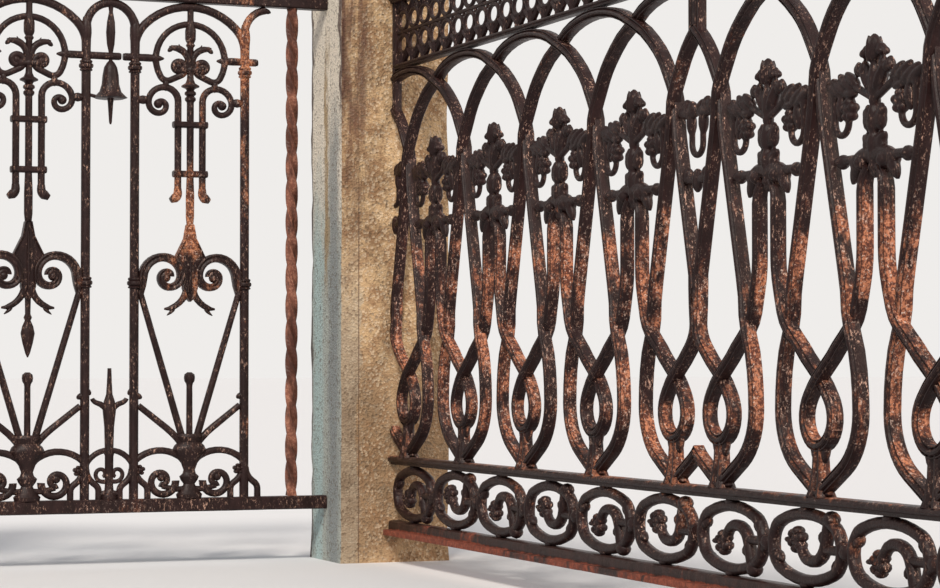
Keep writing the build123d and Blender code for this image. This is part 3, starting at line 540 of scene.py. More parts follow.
def worn_post(node):
    """A worn post whose shoulder and cap are where the frame's post has them."""
    low, high = millimetres(node)
    middle, size = (low + high) / 2, high - low
    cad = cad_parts[node].data
    shoulder = max(v.co.z for v in cad.vertices if abs(v.co.x / MM - middle.x) > size.x / 2 - 1) / MM
    peak = max(v.co.x for v in cad.vertices if v.co.z / MM > high.z - 1) / MM - middle.x
    bm = post_block(low, high, shoulder, size.x / 2 - peak)
    for vert in bm.verts:
        out = vert.co - Vector((middle.x, middle.y, 0))
        gaps = [size.x / 2 - abs(out.x), size.y / 2 - abs(out.y), shoulder - vert.co.z]
        at_arris = max(0.0, 1 - sorted(max(gap, 0) for gap in gaps)[1] / ARRIS_BAND)
        bite = noise.fractal(vert.co / WEAR_WAVE, *WEAR_LAYERS) * 0.5 + 0.5
        depth = WEAR_DEPTH * (FACE_WEAR + (1 - FACE_WEAR) * at_arris) * max(LEAST_BITE, bite)
        inward = Vector((-out.x / size.x, -out.y / size.y, -CAP_WEAR if vert.co.z > shoulder else 0))
        if vert.co.z > 1:
            vert.co += inward.normalized() * depth
    finish_piece(node + "_stone", bm, granite_finish(node + "_granite", middle), node)


for post in POST_NODES:
    worn_post(post)

# %% [markdown]
# ## Rails and stiles
#
# The arcade's rails are cast with a moulding: a round nosing over a step. They are strands as
# well, with the moulding as their section. An old casting is never quite straight, so every
# rail is cut into short lengths and pulled in here and there by a slow noise, which catches
# the light as real iron does.

# %% Moulded rails over the frame's boxes
RAIL_STEP = 24
UNEVEN_RAIL = 0.7
UNEVEN_WAVE = 45
# Each moulding is (height, half depth) from the underside up, and each rail has its finish
SILL_MOULDING = [(0, 22), (1, 23), (8.6, 23), (10, 22), (10.4, 13), (20, 13), (24, 11.6), (26, 8)]
DADO_MOULDING = [(0, 9), (4.6, 9.4), (6, 13.4), (8.6, 15), (11.6, 14.6), (14, 12.4), (15, 9)]
SPRING_MOULDING = [(0, 7.5), (3, 8), (4.2, 10.6), (6.4, 11), (8.2, 10), (9, 7)]
COPING_MOULDING = [(0, 10), (4.6, 10.2), (6, 13.6), (8.6, 15), (12, 14.6), (14.2, 12.2), (15, 9)]
RAILS = {"bottom": (SILL_MOULDING, SILL_IRON), "lower": (DADO_MOULDING, CAST_IRON),
         "upper": (SPRING_MOULDING, CAST_IRON), "top": (COPING_MOULDING, CAST_IRON)}
PANEL_LETTERS = "ab"


def unevened(bm, depth, wave=UNEVEN_WAVE):
    """Pulls every point in by a slow noise, as old castings are pulled."""
    bmesh.ops.recalc_face_normals(bm, faces=bm.faces)
    bm.normal_update()
    for vert in bm.verts:
        vert.co -= vert.normal * depth * (0.5 + 0.5 * noise.noise(vert.co / wave))


def moulded_rail(node, moulding, finish):
    low, high = millimetres(node)
    bm = bmesh.new()
    length = high.x - low.x
    section = [*moulding, *[(height, -depth) for height, depth in reversed(moulding)]]
    Strand(bm, section, low.x, low.z, 0).straight(length, steps=round(length / RAIL_STEP))
    unevened(bm, UNEVEN_RAIL)
    finish_piece(node + "_moulded", bm, finish, node)


for letter in PANEL_LETTERS:
    for level, (moulding, finish) in RAILS.items():
        moulded_rail(f"arcade_{letter}_{level}_rail", moulding, finish)

# %% Grooved stiles at the ends of a panel
STILE_SECTION = even_section([(7.4, 4.4), (6.8, 6.6), (5, 7), (3.2, 6.4), (2.4, 4.6), (0, 4.4)])
UNEVEN_STILE = 0.4


def grooved_stile(node):
    low, high = millimetres(node)
    bm = bmesh.new()
    Strand(bm, STILE_SECTION, (low.x + high.x) / 2, low.z, 90).straight(high.z - low.z, steps=9)
    unevened(bm, UNEVEN_STILE)
    finish_piece(node + "_grooved", bm, CAST_IRON, node)


for letter in PANEL_LETTERS:
    for hand in ("left", "right"):
        grooved_stile(f"arcade_{letter}_{hand}_stile")

# %% [markdown]
# ## The interlaced bars
#
# Each bar has a beaded section: a flat block with a half-round bead on its front and a groove
# along each side of the bead. Its back is nearly flat, as a casting's is. The bars really
# weave: at one crossing a bar runs in front, at the next it runs behind. So each bar is drawn
# flat and then lifted near its crossings, towards the front or the back by turns, and the rule
# is simple: a bar that leans right is in front at the eye and at the node, and behind wherever
# else it crosses another.

# %% A leaf lobe, from a ball
def lobe(bm, x, z, length, width, depth, heading, point=0.45, y=0.0, cuts=2):
    """A fat little leaf that starts at a place, runs along a heading and narrows to its tip."""
    made = bmesh.ops.create_icosphere(bm, subdivisions=cuts, radius=0.5)["verts"]
    for vert in made:
        vert.co.yz *= 1 - point * (vert.co.x + 0.5)
    turn = Matrix.Rotation(-radians(heading), 4, "Y")
    start = turn @ Vector((length / 2, 0, 0)) + Vector((x, y, z))
    place = Matrix.Translation(start) @ turn @ Matrix.Diagonal((length, depth, width, 1))
    bmesh.ops.transform(bm, matrix=place, verts=made)


def lobes(bm, *rows, **every):
    """Several lobes, each from its x, z, length, width, depth, heading and point."""
    for row in rows:
        lobe(bm, *row, **every)


# %% Draw one node's bars
PITCH = 258
EDGE_MARGIN = 66.5
NODES = 5
PANEL_WIDTH = PITCH * (NODES - 1) + 2 * EDGE_MARGIN
RAIL_TOP = 187
EYE_RADIUS = 34
EYE_CENTRE = 282
EYE_LEAN = 42
LEG_RADIUS = 140
LEG_REACH = PITCH / 2 - 24
LEG_TOP = 552
LEG_CLOSING = (36, 50)
BELLY = (94, 290)
FOOT_RADIUS = 80
FOOT_TURN = 60
SHOULDER_RADIUS = 300
SHOULDER_LEAN = 14
HAUNCH_RADIUS = 150
HAUNCH_TURN = 36
EDGE_RADIUS = 46
EDGE_REACH = EDGE_MARGIN - 7.5
EDGE_LAP = 8
STEM_SECTION = even_section([(11.5, 3), (10.8, 6), (8, 8.3), (5, 8), (2.6, 5.6), (0, 3.6)])
STEM_SPREAD = 1.7
# Leaf scraps at the stem: x, z, length, width and heading
STEM_LEAVES = ((5, 195, 28, 11, 40), (13, 190, 15, 11, 5), (3, 222, 48, 17, 64))
LEAF_DEPTH = 15
WEAVE_LIFT = 3.4
WEAVE_REACH = 48
NODE_LEVEL = 704
HAUNCH_LEVEL = 832
# Each crossing: x, z, and 1 where the bar that leans right runs in front
CROSSINGS = ((0, 328, 1), (-76, 400, -1), (76, 400, -1), (0, NODE_LEVEL, 1),
             (-PITCH / 2, HAUNCH_LEVEL, -1), (PITCH / 2, HAUNCH_LEVEL, -1))


def woven(bm, lean):
    """Lifts a bar that leans right (1) or left (-1) to the front or the back at each crossing."""
    for vert in bm.verts:
        for x, z, front in CROSSINGS:
            gap = hypot(vert.co.x - x, vert.co.z - z)
            if gap < WEAVE_REACH:
                vert.co.y -= WEAVE_LIFT * lean * front * (1 + cos(pi * gap / WEAVE_REACH)) / 2
    return bm


def outer_bar(lean):
    """From the foot of the stem, round the right belly, across the node and up to the crown."""
    bm = bmesh.new()
    start_x = BELLY[0] - FOOT_RADIUS * (1 - cos(radians(FOOT_TURN)))
    run = start_x / cos(radians(90 - FOOT_TURN))
    start_z = BELLY[1] - FOOT_RADIUS * sin(radians(FOOT_TURN)) - run * sin(radians(90 - FOOT_TURN))
    strand = Strand(bm, BEADED_BAR, 0, start_z, 90 - FOOT_TURN)
    strand.straight(run, steps=3).bend(FOOT_RADIUS, FOOT_TURN).bend(SHOULDER_RADIUS, SHOULDER_LEAN)
    strand.straight(strand.x / sin(radians(SHOULDER_LEAN)), steps=14).bend(HAUNCH_RADIUS, HAUNCH_TURN)
    crown_turn = 90 - SHOULDER_LEAN - HAUNCH_TURN
    strand.bend((PITCH + strand.x) / sin(radians(crown_turn)), crown_turn)
    return woven(bm, lean)


def eye_strand(reach, radius, steps):
    """From under the eye, round its right side, and across until it stands up on the left."""
    strand = Strand(bmesh.new(), BEADED_BAR, 0, EYE_CENTRE - EYE_RADIUS, 0)
    strand.bend(EYE_RADIUS, 180 - EYE_LEAN)
    swing = radius * (1 - sin(radians(EYE_LEAN)))
    strand.straight((reach - swing + strand.x) / cos(radians(EYE_LEAN)), steps=steps)
    return strand.bend(radius, EYE_LEAN - 90)


def eye_bar(lean):
    """The eye's bar runs up to the finial on the left and closes in under its seat."""
    strand = eye_strand(LEG_REACH, LEG_RADIUS, 6)
    strand.straight(LEG_TOP - strand.z, steps=2).bend(*LEG_CLOSING, 0.8)
    return woven(strand.bm, lean)


def edge_bar(lean):
    """Beside a panel's left edge the eye's bar stands up sooner and runs into the outer bar."""
    strand = eye_strand(EDGE_REACH, EDGE_RADIUS, 4)
    join = NODE_LEVEL - EDGE_REACH / tan(radians(SHOULDER_LEAN))
    strand.straight(join + EDGE_LAP - strand.z, steps=3)
    return woven(strand.bm, lean)


def stem():
    """Two ridges with a groove between, spread at the rail, with leaf scraps where the feet join."""
    bm = bmesh.new()
    strand = Strand(bm, STEM_SECTION, 0, RAIL_TOP - 1, 90, STEM_SPREAD)
    strand.straight(10, 1.35, 2).straight(24, 1.0, 3)
    strand.straight(EYE_CENTRE - EYE_RADIUS - strand.z + 6, 0.85, 3)
    for x, z, length, width, heading in STEM_LEAVES:
        for side in (1, -1):
            lobe(bm, side * x, z, length, width, LEAF_DEPTH, 90 - side * (90 - heading))
    return bm


# %% Set the nodes along a panel
CUT_MARGIN = 0.5


def cut_at(bm, x, keep_right):
    """Cuts a casting with an upright plane and closes the cut."""
    normal = (-1, 0, 0) if keep_right else (1, 0, 0)
    geometry = [*bm.verts, *bm.edges, *bm.faces]
    bmesh.ops.bisect_plane(bm, geom=geometry, plane_co=(x, 0, 0), plane_no=normal, clear_outer=True)
    bmesh.ops.holes_fill(bm, edges=[edge for edge in bm.edges if edge.is_boundary], sides=0)


def trimmed(bm, left=CUT_MARGIN, right=PANEL_WIDTH - CUT_MARGIN):
    cut_at(bm, left, True)
    cut_at(bm, right, False)
    return bm


def panel_bars():
    """All the bars of a panel, from its first edge at x = 0."""
    bars = bmesh.new()
    # A bar is drawn leaning left; its mirror image leans right and is lifted the other way
    outer, outer_mirror, foot = outer_bar(-1), outer_bar(1), stem()
    eyes, eye_mirrors = [eye_bar(-1)] * NODES, [eye_bar(1)] * NODES
    eyes[0], eye_mirrors[-1] = edge_bar(-1), edge_bar(1)
    for step, (eye, eye_mirror) in enumerate(zip(eyes, eye_mirrors)):
        axis = EDGE_MARGIN + PITCH * step
        here, flipped = across(axis), across(axis, mirrored=True)
        stamp(bars, outer, here)
        stamp(bars, outer_mirror, flipped)
        stamp(bars, foot, here)
        stamp(bars, eye, here)
        stamp(bars, eye_mirror, flipped)
    # Crowns that lean in from the next panels
    stamp(bars, outer_mirror, across(EDGE_MARGIN - PITCH, mirrored=True))
    stamp(bars, outer, across(EDGE_MARGIN + PITCH * NODES))
    return trimmed(bars)


def finish_panel(letter, shape, bm, node):
    """Moves what is drawn from the panel's left edge to its place along the arcade."""
    start, _ = millimetres(f"arcade_{letter}_tracery")
    bmesh.ops.translate(bm, vec=(start.x, 0, 0), verts=bm.verts)
    finish_piece(f"arcade_{letter}_{shape}", bm, CAST_IRON, f"arcade_{letter}_{node}")


for letter in PANEL_LETTERS:
    finish_panel(letter, "woven_bars", panel_bars(), "tracery")

# %% [markdown]
# ## The leafy finials
#
# In each arch stands a finial: a hooded bud, a pair of broad leaves, two sprays with a flower
# and a hanging ring under each, a column of folded leaves and two curled arms. A founder's
# pattern was carved from wood, so every form is rounded and runs into the next. Lobes and
# tapered strands are laid over each other by a list of places. A voxel remesh then fuses them
# into one skin, as the casting is, which is smoothed and thinned to half its faces.

# %% Carve one finial
VOXEL = 1.5
SKIN_SHARE = 0.5
FLOWER = (57, 650)
# Each lobe: x, z, length, width, depth, heading, and how far it stands from the middle plane,
# which is left out for the sprays because their lobes lie in it
BUD_LOBES = ((0, 700, 36, 32, 27, 90, 0), (11, 723, 20, 15, 19, -58, 0), (0, 700, 34, 10, 12, 90, 8),
             (13, 715, 13, 13, 14, -20, 4))
LEAF_LOBES = ((0, 655, 56, 22, 22, 90, 0), (1, 660, 46, 19, 17, 68, 0), (4, 664, 44, 15, 15, 53, 0),
              (6, 668, 36, 7, 9, 56, 6), (26, 686, 23, 15, 19, 60, 0), (19, 690, 17, 13, 18, 78, 0),
              (34, 703, 17, 13, 17, -72, 0))
SPRAY_LOBES = ((36, 676, 36, 14, 16, 34), (44, 671, 46, 15, 17, 32), (56, 667, 50, 15, 17, 29),
               (70, 667, 46, 15, 16, 26), (40, 668, 34, 13, 15, 4), (74, 672, 36, 17, 14, -82),
               (90, 688, 30, 16, 13, -86))
COLUMN_LOBES = ((3, 620, 36, 20, 19, 64, 0), (8, 630, 24, 15, 18, 50, 0), (0, 614, 46, 21, 27, 90, 0),
                (3, 596, 27, 19, 19, 60, 0), (8, 603, 23, 15, 18, 42, 0), (0, 590, 38, 21, 27, 90, 0),
                (0, 607, 42, 20, 22, -90, 0), (0, 648, 22, 17, 20, 90, 0), (13, 620, 34, 19, 19, 86, 0),
                (13, 595, 26, 19, 19, 82, 0))
ARM_LOBES = ((32, 592, 38, 25, 19, -58, 0), (63, 589, 24, 24, 20, 0, 0), (69, 589, 12, 12, 28, 0, 0))
EDGE_LOBES = ((-4, 684, 62, 20, 16, 3), (50, 684, 24, 14, 16, 140), (38, 684, 24, 14, 16, 128),
              (20, 684, 24, 15, 16, 58), (4, 682, 24, 15, 16, 52), (18, 688, 36, 17, 16, -92),
              (50, 597, 54, 16, 16, 184), (26, 592, 20, 18, 16, 90), (0, 610, 34, 26, 16, -90))
LOOP_BAR = round_section(8.8)


def flower(bm, x, z, petals, radius, depth, turn=90):
    """Broad petals round a boss, on a thick disc."""
    for petal in range(petals):
        heading = turn + 360 / petals * petal
        start = Vector((cos(radians(heading)), sin(radians(heading)))) * radius * 0.28
        lobe(bm, x + start.x, z + start.y, radius * 0.76, radius * 0.9, depth, heading, point=0)
    lobe(bm, x - radius * 0.7, z, radius * 1.4, radius * 1.4, depth * 0.9, 0, point=0)
    lobe(bm, x - radius * 0.25, z, radius * 0.5, radius * 0.5, depth * 1.2, 0, point=0)


def leafy_top(bm):
    """The bud, the broad leaf, the column of folded leaves and the arm, right of the axis."""
    for *lobe_sizes, proud in BUD_LOBES + LEAF_LOBES + COLUMN_LOBES + ARM_LOBES:
        for side in ((1, -1) if proud else (0,)):
            lobe(bm, *lobe_sizes, y=side * proud)
    Strand(bm, strip_section(19, 16, 5), 0, 590, 26, 0.95).bend(38, -66, 1.0).straight(7, 0.8)
    lobe(bm, 15, 585, 20, 20, 28, 0, 0)
    Strand(bm, round_section(13), 42, 590, 0).straight(46, 0.85, 3)


def spray(bm):
    """The ribbed leaves, the stem, the flower and the hanging loop, right of the axis."""
    lobes(bm, *SPRAY_LOBES, point=0.15)
    Strand(bm, round_section(9), 2, 659, 23, 1.05).straight(44, 1.1, 3)
    flower(bm, *FLOWER, 5, 14.5, 17)
    Strand(bm, LOOP_BAR, 91, 684, -90).straight(47, 1.0, 3).bend(16, -180).straight(14, 0.9, 2)


def finial_casting():
    """Both sides of a finial and the pierced button on its seat, fused into one skin."""
    side, whole = bmesh.new(), bmesh.new()
    leafy_top(side)
    spray(side)
    both_sides(whole, side)
    Strand(whole, round_section(9), 8.5, 578, 90).bend(8.5, 360)
    lobe(whole, -6, 578, 12, 12, 20, 0, 0)
    return fused(whole)


def edge_casting():
    """Half of the small spray that two panels share, right of the joint between them."""
    bm = bmesh.new()
    lobes(bm, *EDGE_LOBES, point=0.15)
    Strand(bm, LOOP_BAR, 16, 688, -90).straight(45, 1.0, 3).bend(16, -90).straight(4)
    return fused(bm)


def fused(bm):
    """One closed skin round overlapping forms."""
    mesh = bpy.data.meshes.new("forms")
    bm.to_mesh(mesh)
    bm.free()
    holder = stood_in_scene("forms", mesh)
    remesh = holder.modifiers.new("skin", "REMESH")
    remesh.mode, remesh.voxel_size = "VOXEL", VOXEL
    soften = holder.modifiers.new("soften", "SMOOTH")
    soften.factor, soften.iterations = 0.5, 2
    holder.modifiers.new("thin", "DECIMATE").ratio = SKIN_SHARE
    worked = holder.evaluated_get(bpy.context.evaluated_depsgraph_get())
    skin = bmesh.new()
    skin.from_mesh(bpy.data.meshes.new_from_object(worked))
    bpy.data.objects.remove(holder)
    return skin


# %% Stand the finials in the arches, with a half spray at the panel's edges
FINIAL, EDGE_SPRAY = finial_casting(), edge_casting()


def panel_finials():
    panel, ends = bmesh.new(), bmesh.new()
    stamp(panel, FINIAL, *[across(EDGE_MARGIN + PITCH * (step + 0.5)) for step in range(NODES - 1)])
    stamp(ends, EDGE_SPRAY, across(0), across(PANEL_WIDTH, mirrored=True))
    stamp(panel, trimmed(ends), across(0))
    return panel


for letter in PANEL_LETTERS:
    finish_panel(letter, "leafy_finials", panel_finials(), "finials")

# %% [markdown]
# ## The scroll frieze under the arcade
#
# Between the sill and the lower rail runs a row of scrolls. Each is an oval ring with a second
# bar that leaves it at a boss, curls inwards and ends in a rosette. Every second one is turned
# over. The ring is a four-centred oval, which a strand draws with four bends and no fitting.

# %% Draw one scroll and run it along the panel
SCROLLS = 6
RING_HALF_LONG = 84
RING_HALF_HIGH = 41
RING_END_RADIUS = 32
FRIEZE_BAR = [(side, depth * 1.15) for side, depth in round_section(16)]
LINK_START = 40
ROSETTE = (-24, 8)
UNEVEN_FRIEZE = 0.8
FRIEZE_WAVE = 12
# Each lobe: x, z, length, width, depth, heading and point
LINK_KNOB = (84, 0, 26, 24, 24, 0, 0)
RAIL_BOSS = (46, 37, 26, 23, 24, 0, 0.1)
BAR_LEAVES = ((36, 22, 26, 14, 21, -60, 0.3), (78, 12, 30, 13, 19, -20, 0.2), (66, -26, 22, 12, 20, 60, 0.4),
              (-80, -8, 24, 15, 20, -35, 0.4), (-68, 22, 22, 13, 20, 40, 0.3), (-52, 8, 24, 11, 18, -10, 0.4))
RAIL_SEATS = ((-14, -46, 26, 11, 20, 0, 0), (-14, 46, 26, 11, 20, 0, 0))


def four_centred_ring(bm, section, half_long, half_high, end_radius):
    """An oval ring from four arcs that meet without a corner."""
    reach = half_long - end_radius
    side_radius = (reach ** 2 + half_high ** 2 - end_radius ** 2) / (2 * (half_high - end_radius))
    side_turn = degrees(2 * acos((side_radius - half_high) / (side_radius - end_radius)))
    strand = Strand(bm, section, 0, half_high, 180)
    strand.bend(side_radius, side_turn / 2).bend(end_radius, 180 - side_turn).bend(side_radius, side_turn)
    strand.bend(end_radius, 180 - side_turn).bend(side_radius, side_turn / 2)


def frieze_scroll():
    """The ring, its curled bar and rosette, half the link to the next ring, and the leaves."""
    bm = bmesh.new()
    four_centred_ring(bm, FRIEZE_BAR, RING_HALF_LONG, RING_HALF_HIGH, RING_END_RADIUS)
    hook = Strand(bm, FRIEZE_BAR, 56, 41, -106)
    hook.straight(37, steps=3).bend(30, -74, 1.0).straight(8).bend(26, -84, 0.8)
    flower(bm, *ROSETTE, 6, 17, 19, 20)
    link = Strand(bm, FRIEZE_BAR, LINK_START, 0, 0, 0.8)
    link.straight(PANEL_WIDTH / SCROLLS / 2 - LINK_START, 0.8, 3)
    lobes(bm, LINK_KNOB, RAIL_BOSS, *BAR_LEAVES, *RAIL_SEATS)
    return bm


def panel_scrolls(letter):
    low, high = millimetres(f"arcade_{letter}_scroll_frieze")
    unit, frieze = frieze_scroll(), bmesh.new()
    spacing, middle = PANEL_WIDTH / SCROLLS, (low.z + high.z) / 2
    for step in range(SCROLLS):
        turned_over = Matrix.Diagonal((1, 1, 1 if step % 2 else -1, 1))
        stamp(frieze, unit, across(spacing * (step + 0.5), middle) @ turned_over)
    unevened(trimmed(frieze), UNEVEN_FRIEZE, FRIEZE_WAVE)
    return frieze


for letter in PANEL_LETTERS:
    finish_panel(letter, "running_scrolls", panel_scrolls(letter), "scroll_frieze")

# %% [markdown]
# ## The loop frieze over the arcade
#
# Above the upper rail stand two rows of small loops on stalks, with a knob between each pair.
# There are dozens of them, and they are seen small, so each loop gets only a few sides. Its
# holes against the sky are what the eye picks out, and those follow the frame's spacing.

# %% Draw one loop and repeat it in two rows
LOOP_COLUMNS = 22
STILE_WIDTH = 15
STILE_LAP = 6
LOOP_ROWS = (909, 950)
ROW_BAR_LEVEL = 930
LOOP_SECTION = [(side, depth * 0.8) for side, depth in round_section(8.6, 8)]
# The knob between two loops and the leaflets over it
LOOP_LEAVES = ((19.4, 0, 13, 13, 12, 0, 0), (22, 12, 11, 7, 8, 50, 0.3), (29.6, 12, 11, 7, 8, 130, 0.3))
# Stalks under and over the loops: bar, level, length, size at each end
STALKS = ((13, 874, 20, 1.3, 1.0), (9, 966, 19, 1.0, 1.3))
# Struts that leave a small three-cornered gap beside a stalk: bar, level and the right one's heading
STRUTS = ((10.5, 879, 40), (8, 983, -38))
STRUT_LENGTH = 27


def frieze_loop():
    bm = bmesh.new()
    four_centred_ring(bm, LOOP_SECTION, 21.2, 15.8, 13)
    lobes(bm, *LOOP_LEAVES, cuts=1)
    return bm


def panel_loops():
    frieze, loop = bmesh.new(), frieze_loop()
    left, right = STILE_WIDTH, PANEL_WIDTH - STILE_WIDTH
    spacing = (right - left) / LOOP_COLUMNS
    for step in range(LOOP_COLUMNS):
        x = left + spacing * (step + 0.5)
        stamp(frieze, loop, *[across(x, level) for level in LOOP_ROWS])
        for (bar, level, length, foot, head), (strut, root, lean) in zip(STALKS, STRUTS):
            Strand(frieze, round_section(bar, 6), x, level, 90, foot).straight(length, head)
            for side, heading in ((1, lean), (-1, 180 - lean)):
                Strand(frieze, round_section(strut, 6), x + side * 4, root, heading).straight(STRUT_LENGTH)
    Strand(frieze, round_section(7, 8), left, ROW_BAR_LEVEL, 0).straight(right - left, steps=22)
    return trimmed(frieze, left - STILE_LAP, right + STILE_LAP)


for letter in PANEL_LETTERS:
    finish_panel(letter, "loops", panel_loops(), "loop_frieze")

# %% [markdown]
# ## The scroll run: turned work
#
# The run beside the arcade is cast to look forged. What is round about an upright axis, such as
# the bars with their collars, the knops, the bell and the vases, is a profile spun once around.
# The profile is a short list of radii and levels, just as a turner would read it.

# %% Spin a profile about an upright axis
FIRST_BAR = 252
BAY_PITCH = 284
BAY_HALF = 99
BAY_AXES = (FIRST_BAR + BAY_HALF, FIRST_BAR + BAY_HALF + BAY_PITCH)
BAR_PLACES = [axis + side * BAY_HALF for axis in BAY_AXES for side in (-1, 1)]
GAP_AXIS = sum(BAY_AXES) / 2
GAP_HALF = BAY_PITCH / 2 - BAY_HALF
SPIN_STEPS = 18
SEAM_REACH = 0.01
RUN_ROUND = round_section(1, 10)
UNEVEN_RUN = 0.5
RUN_WAVE = 14


def turned_piece(x, profile, flatness=1.0):
    """A closed turned piece from (radius, level) points, flattened front to back if asked."""
    bm = bmesh.new()
    points = [(0, profile[0][1]), *profile, (0, profile[-1][1])]
    corners = [bm.verts.new((radius, 0, level)) for radius, level in points]
    edges = [bm.edges.new(pair) for pair in zip(corners, corners[1:])]
    bmesh.ops.spin(bm, geom=corners + edges, cent=(0, 0, 0), axis=(0, 0, 1), angle=2 * pi,
                   steps=SPIN_STEPS, use_merge=True)
    bmesh.ops.remove_doubles(bm, verts=bm.verts, dist=SEAM_REACH)
    bmesh.ops.transform(bm, matrix=across(x) @ Matrix.Diagonal((1, flatness, 1, 1)), verts=bm.verts)
    return bm


def merge(target, *sources):
    for source in sources:
        stamp(target, source, across(0))
        source.free()


def mirrored(half, *middle):
    """What is drawn right of an axis, its mirror image, and what stands on the axis."""
    whole = bmesh.new()
    both_sides(whole, half)
    merge(whole, *middle)
    return whole


def repeated(whole, axes=BAY_AXES):
    """What is drawn about one axis, set on each axis of the run."""
    run = bmesh.new()
    stamp(run, whole, *[across(x) for x in axes])
    return run


def run_strand(bm, diameter, x, z, heading, size=1.0):
    return Strand(bm, [(side * diameter, depth * diameter) for side, depth in RUN_ROUND], x, z, heading, size)


def finish_run(name, bm, node, finish=WROUGHT_IRON, rough=UNEVEN_RUN):
    """Roughens what is drawn along the scroll run, and turns it to its place."""
    unevened(bm, rough, RUN_WAVE)
    finish_piece("scroll_run_" + name, bm, finish, "scroll_run_" + node, turned=True)


# %% Uprights with collars, flared feet and forked heads
BAR_RADIUS = 8.3
LOW_RAIL_TOP = 116
FORK_LEVEL = 915
COLLAR = ((0, -10), (2.6, -9), (3.2, -7), (1.4, -5.4), (4.2, -3), (4.6, 0), (4, 2.4), (1.6, 4), (3, 6),
          (2.6, 8.6), (0, 10))
COLLAR_LEVELS = (488, 861)


def build_uprights():
    lower, upper = ([(BAR_RADIUS + proud, level + rise) for proud, rise in COLLAR] for level in COLLAR_LEVELS)
    profile = [(BAR_RADIUS, LOW_RAIL_TOP - 1), (BAR_RADIUS, 300), *lower, (BAR_RADIUS, 660), *upper,
               (BAR_RADIUS, 890), (BAR_RADIUS + 0.6, FORK_LEVEL + 4)]
    run = bmesh.new()
    for x in BAR_PLACES:
        merge(run, turned_piece(x, profile))
        lobe(run, x, 884, 66, 17, 17, 90, -0.3)
        for side in (1, -1):
            foot = run_strand(run, 12, x + side * 3, 168, -90)
            foot.bend(30, side * 52, 1.0).straight(6).bend(14, side * -52).straight(14)
    finish_run("collared_bars", run, "upright_bars")


build_uprights()

# %% Arches over the bays and the gap, with a horn beside each post
ARCH_CROWN = 973
WIDE_CROWN_RADIUS = 116
SPRING_RADIUS = 60
ARCH_BAR = 15.5
ARCH_LAP = 0.5


def build_arches():
    run, wide, narrow, horn = bmesh.new(), bmesh.new(), bmesh.new(), bmesh.new()
    rise, crown = ARCH_CROWN - FORK_LEVEL, ARCH_CROWN - 1.5
    wide_bar = run_strand(wide, ARCH_BAR, -ARCH_LAP, crown, 0)
    wide_bar.bend(WIDE_CROWN_RADIUS, -45).bend(SPRING_RADIUS, -45).straight(16, 0.8)
    narrow_bar = run_strand(narrow, ARCH_BAR, -ARCH_LAP, crown, 0)
    narrow_bar.bend(GAP_HALF, -90).straight(rise - GAP_HALF + 20, 0.8)
    tip = run_strand(horn, 14.5, 0, FORK_LEVEL - 14, 90, 0.9)
    tip.straight(rise - GAP_HALF + 14, 1).bend(GAP_HALF, 74, 1.0).straight(6, 1.05)
    lobe(horn, tip.x + 7, tip.z + 1, 19, 13, 14, 196, 0.35)
    for x in BAY_AXES:
        stamp(run, wide, across(x), across(x, mirrored=True))
    stamp(run, narrow, across(GAP_AXIS), across(GAP_AXIS, mirrored=True))
    stamp(run, horn, across(BAR_PLACES[0]), across(BAR_PLACES[-1], mirrored=True))
    finish_run("round_arches", run, "arches")


build_arches()

# %% Square rails, and twisted square bars beside the posts
TWIST_SECTION = [(side * 8, depth * 8) for side, depth in
                 ((0.9, 1.06), (0, 0.78), (-0.9, 1.06), (-1.06, 0.9), (-0.78, 0), (-1.06, -0.9),
                  (-0.9, -1.06), (0, -0.78), (0.9, -1.06), (1.06, -0.9), (0.78, 0), (1.06, 0.9))]
TWIST_TURN = 1560
TWIST_STEPS = 130


def build_run_rail(node):
    low, high = millimetres("scroll_run_" + node)
    bm, side = bmesh.new(), high.z - low.z
    bar = Strand(bm, strip_section(side, side, 2.5), -high.y, (low.z + high.z) / 2, 0)
    bar.straight(high.y - low.y, steps=36)
    finish_run(node + "_square", bm, node, rough=0.9)


def build_twisted_bar(node):
    low, high = millimetres("scroll_run_" + node)
    bm = bmesh.new()
    bar = Strand(bm, TWIST_SECTION, -(low.y + high.y) / 2, low.z, 90)
    bar.straight(high.z - low.z, steps=TWIST_STEPS, twist=TWIST_TURN)
    finish_run(node + "_smooth", bm, node, TWISTED_IRON, 0.3)


for level in ("top", "bottom"):
    build_run_rail(level + "_rail")
for end in ("near", "far"):
    build_twisted_bar(end + "_twisted_bar")

# %% [markdown]
# ## The scroll run: rings, rods and leaves
#
# Inside each arch hangs a ring that opens below into two curls, tied by a knot. A rod with
# knops runs down its middle between two side rods with curled heads. These are strands whose
# bends shrink towards the eye of each scroll, where the smith or the founder left a ball. Each
# ornament is even about its bay's axis, so only its right half is drawn.

# %% Rings with their knot, studs and sprig
RING_RADIUS = 62
RING_CENTRE = 879
VOLUTE = [(13.5, 155), (9.5, 180), (6, 120)]


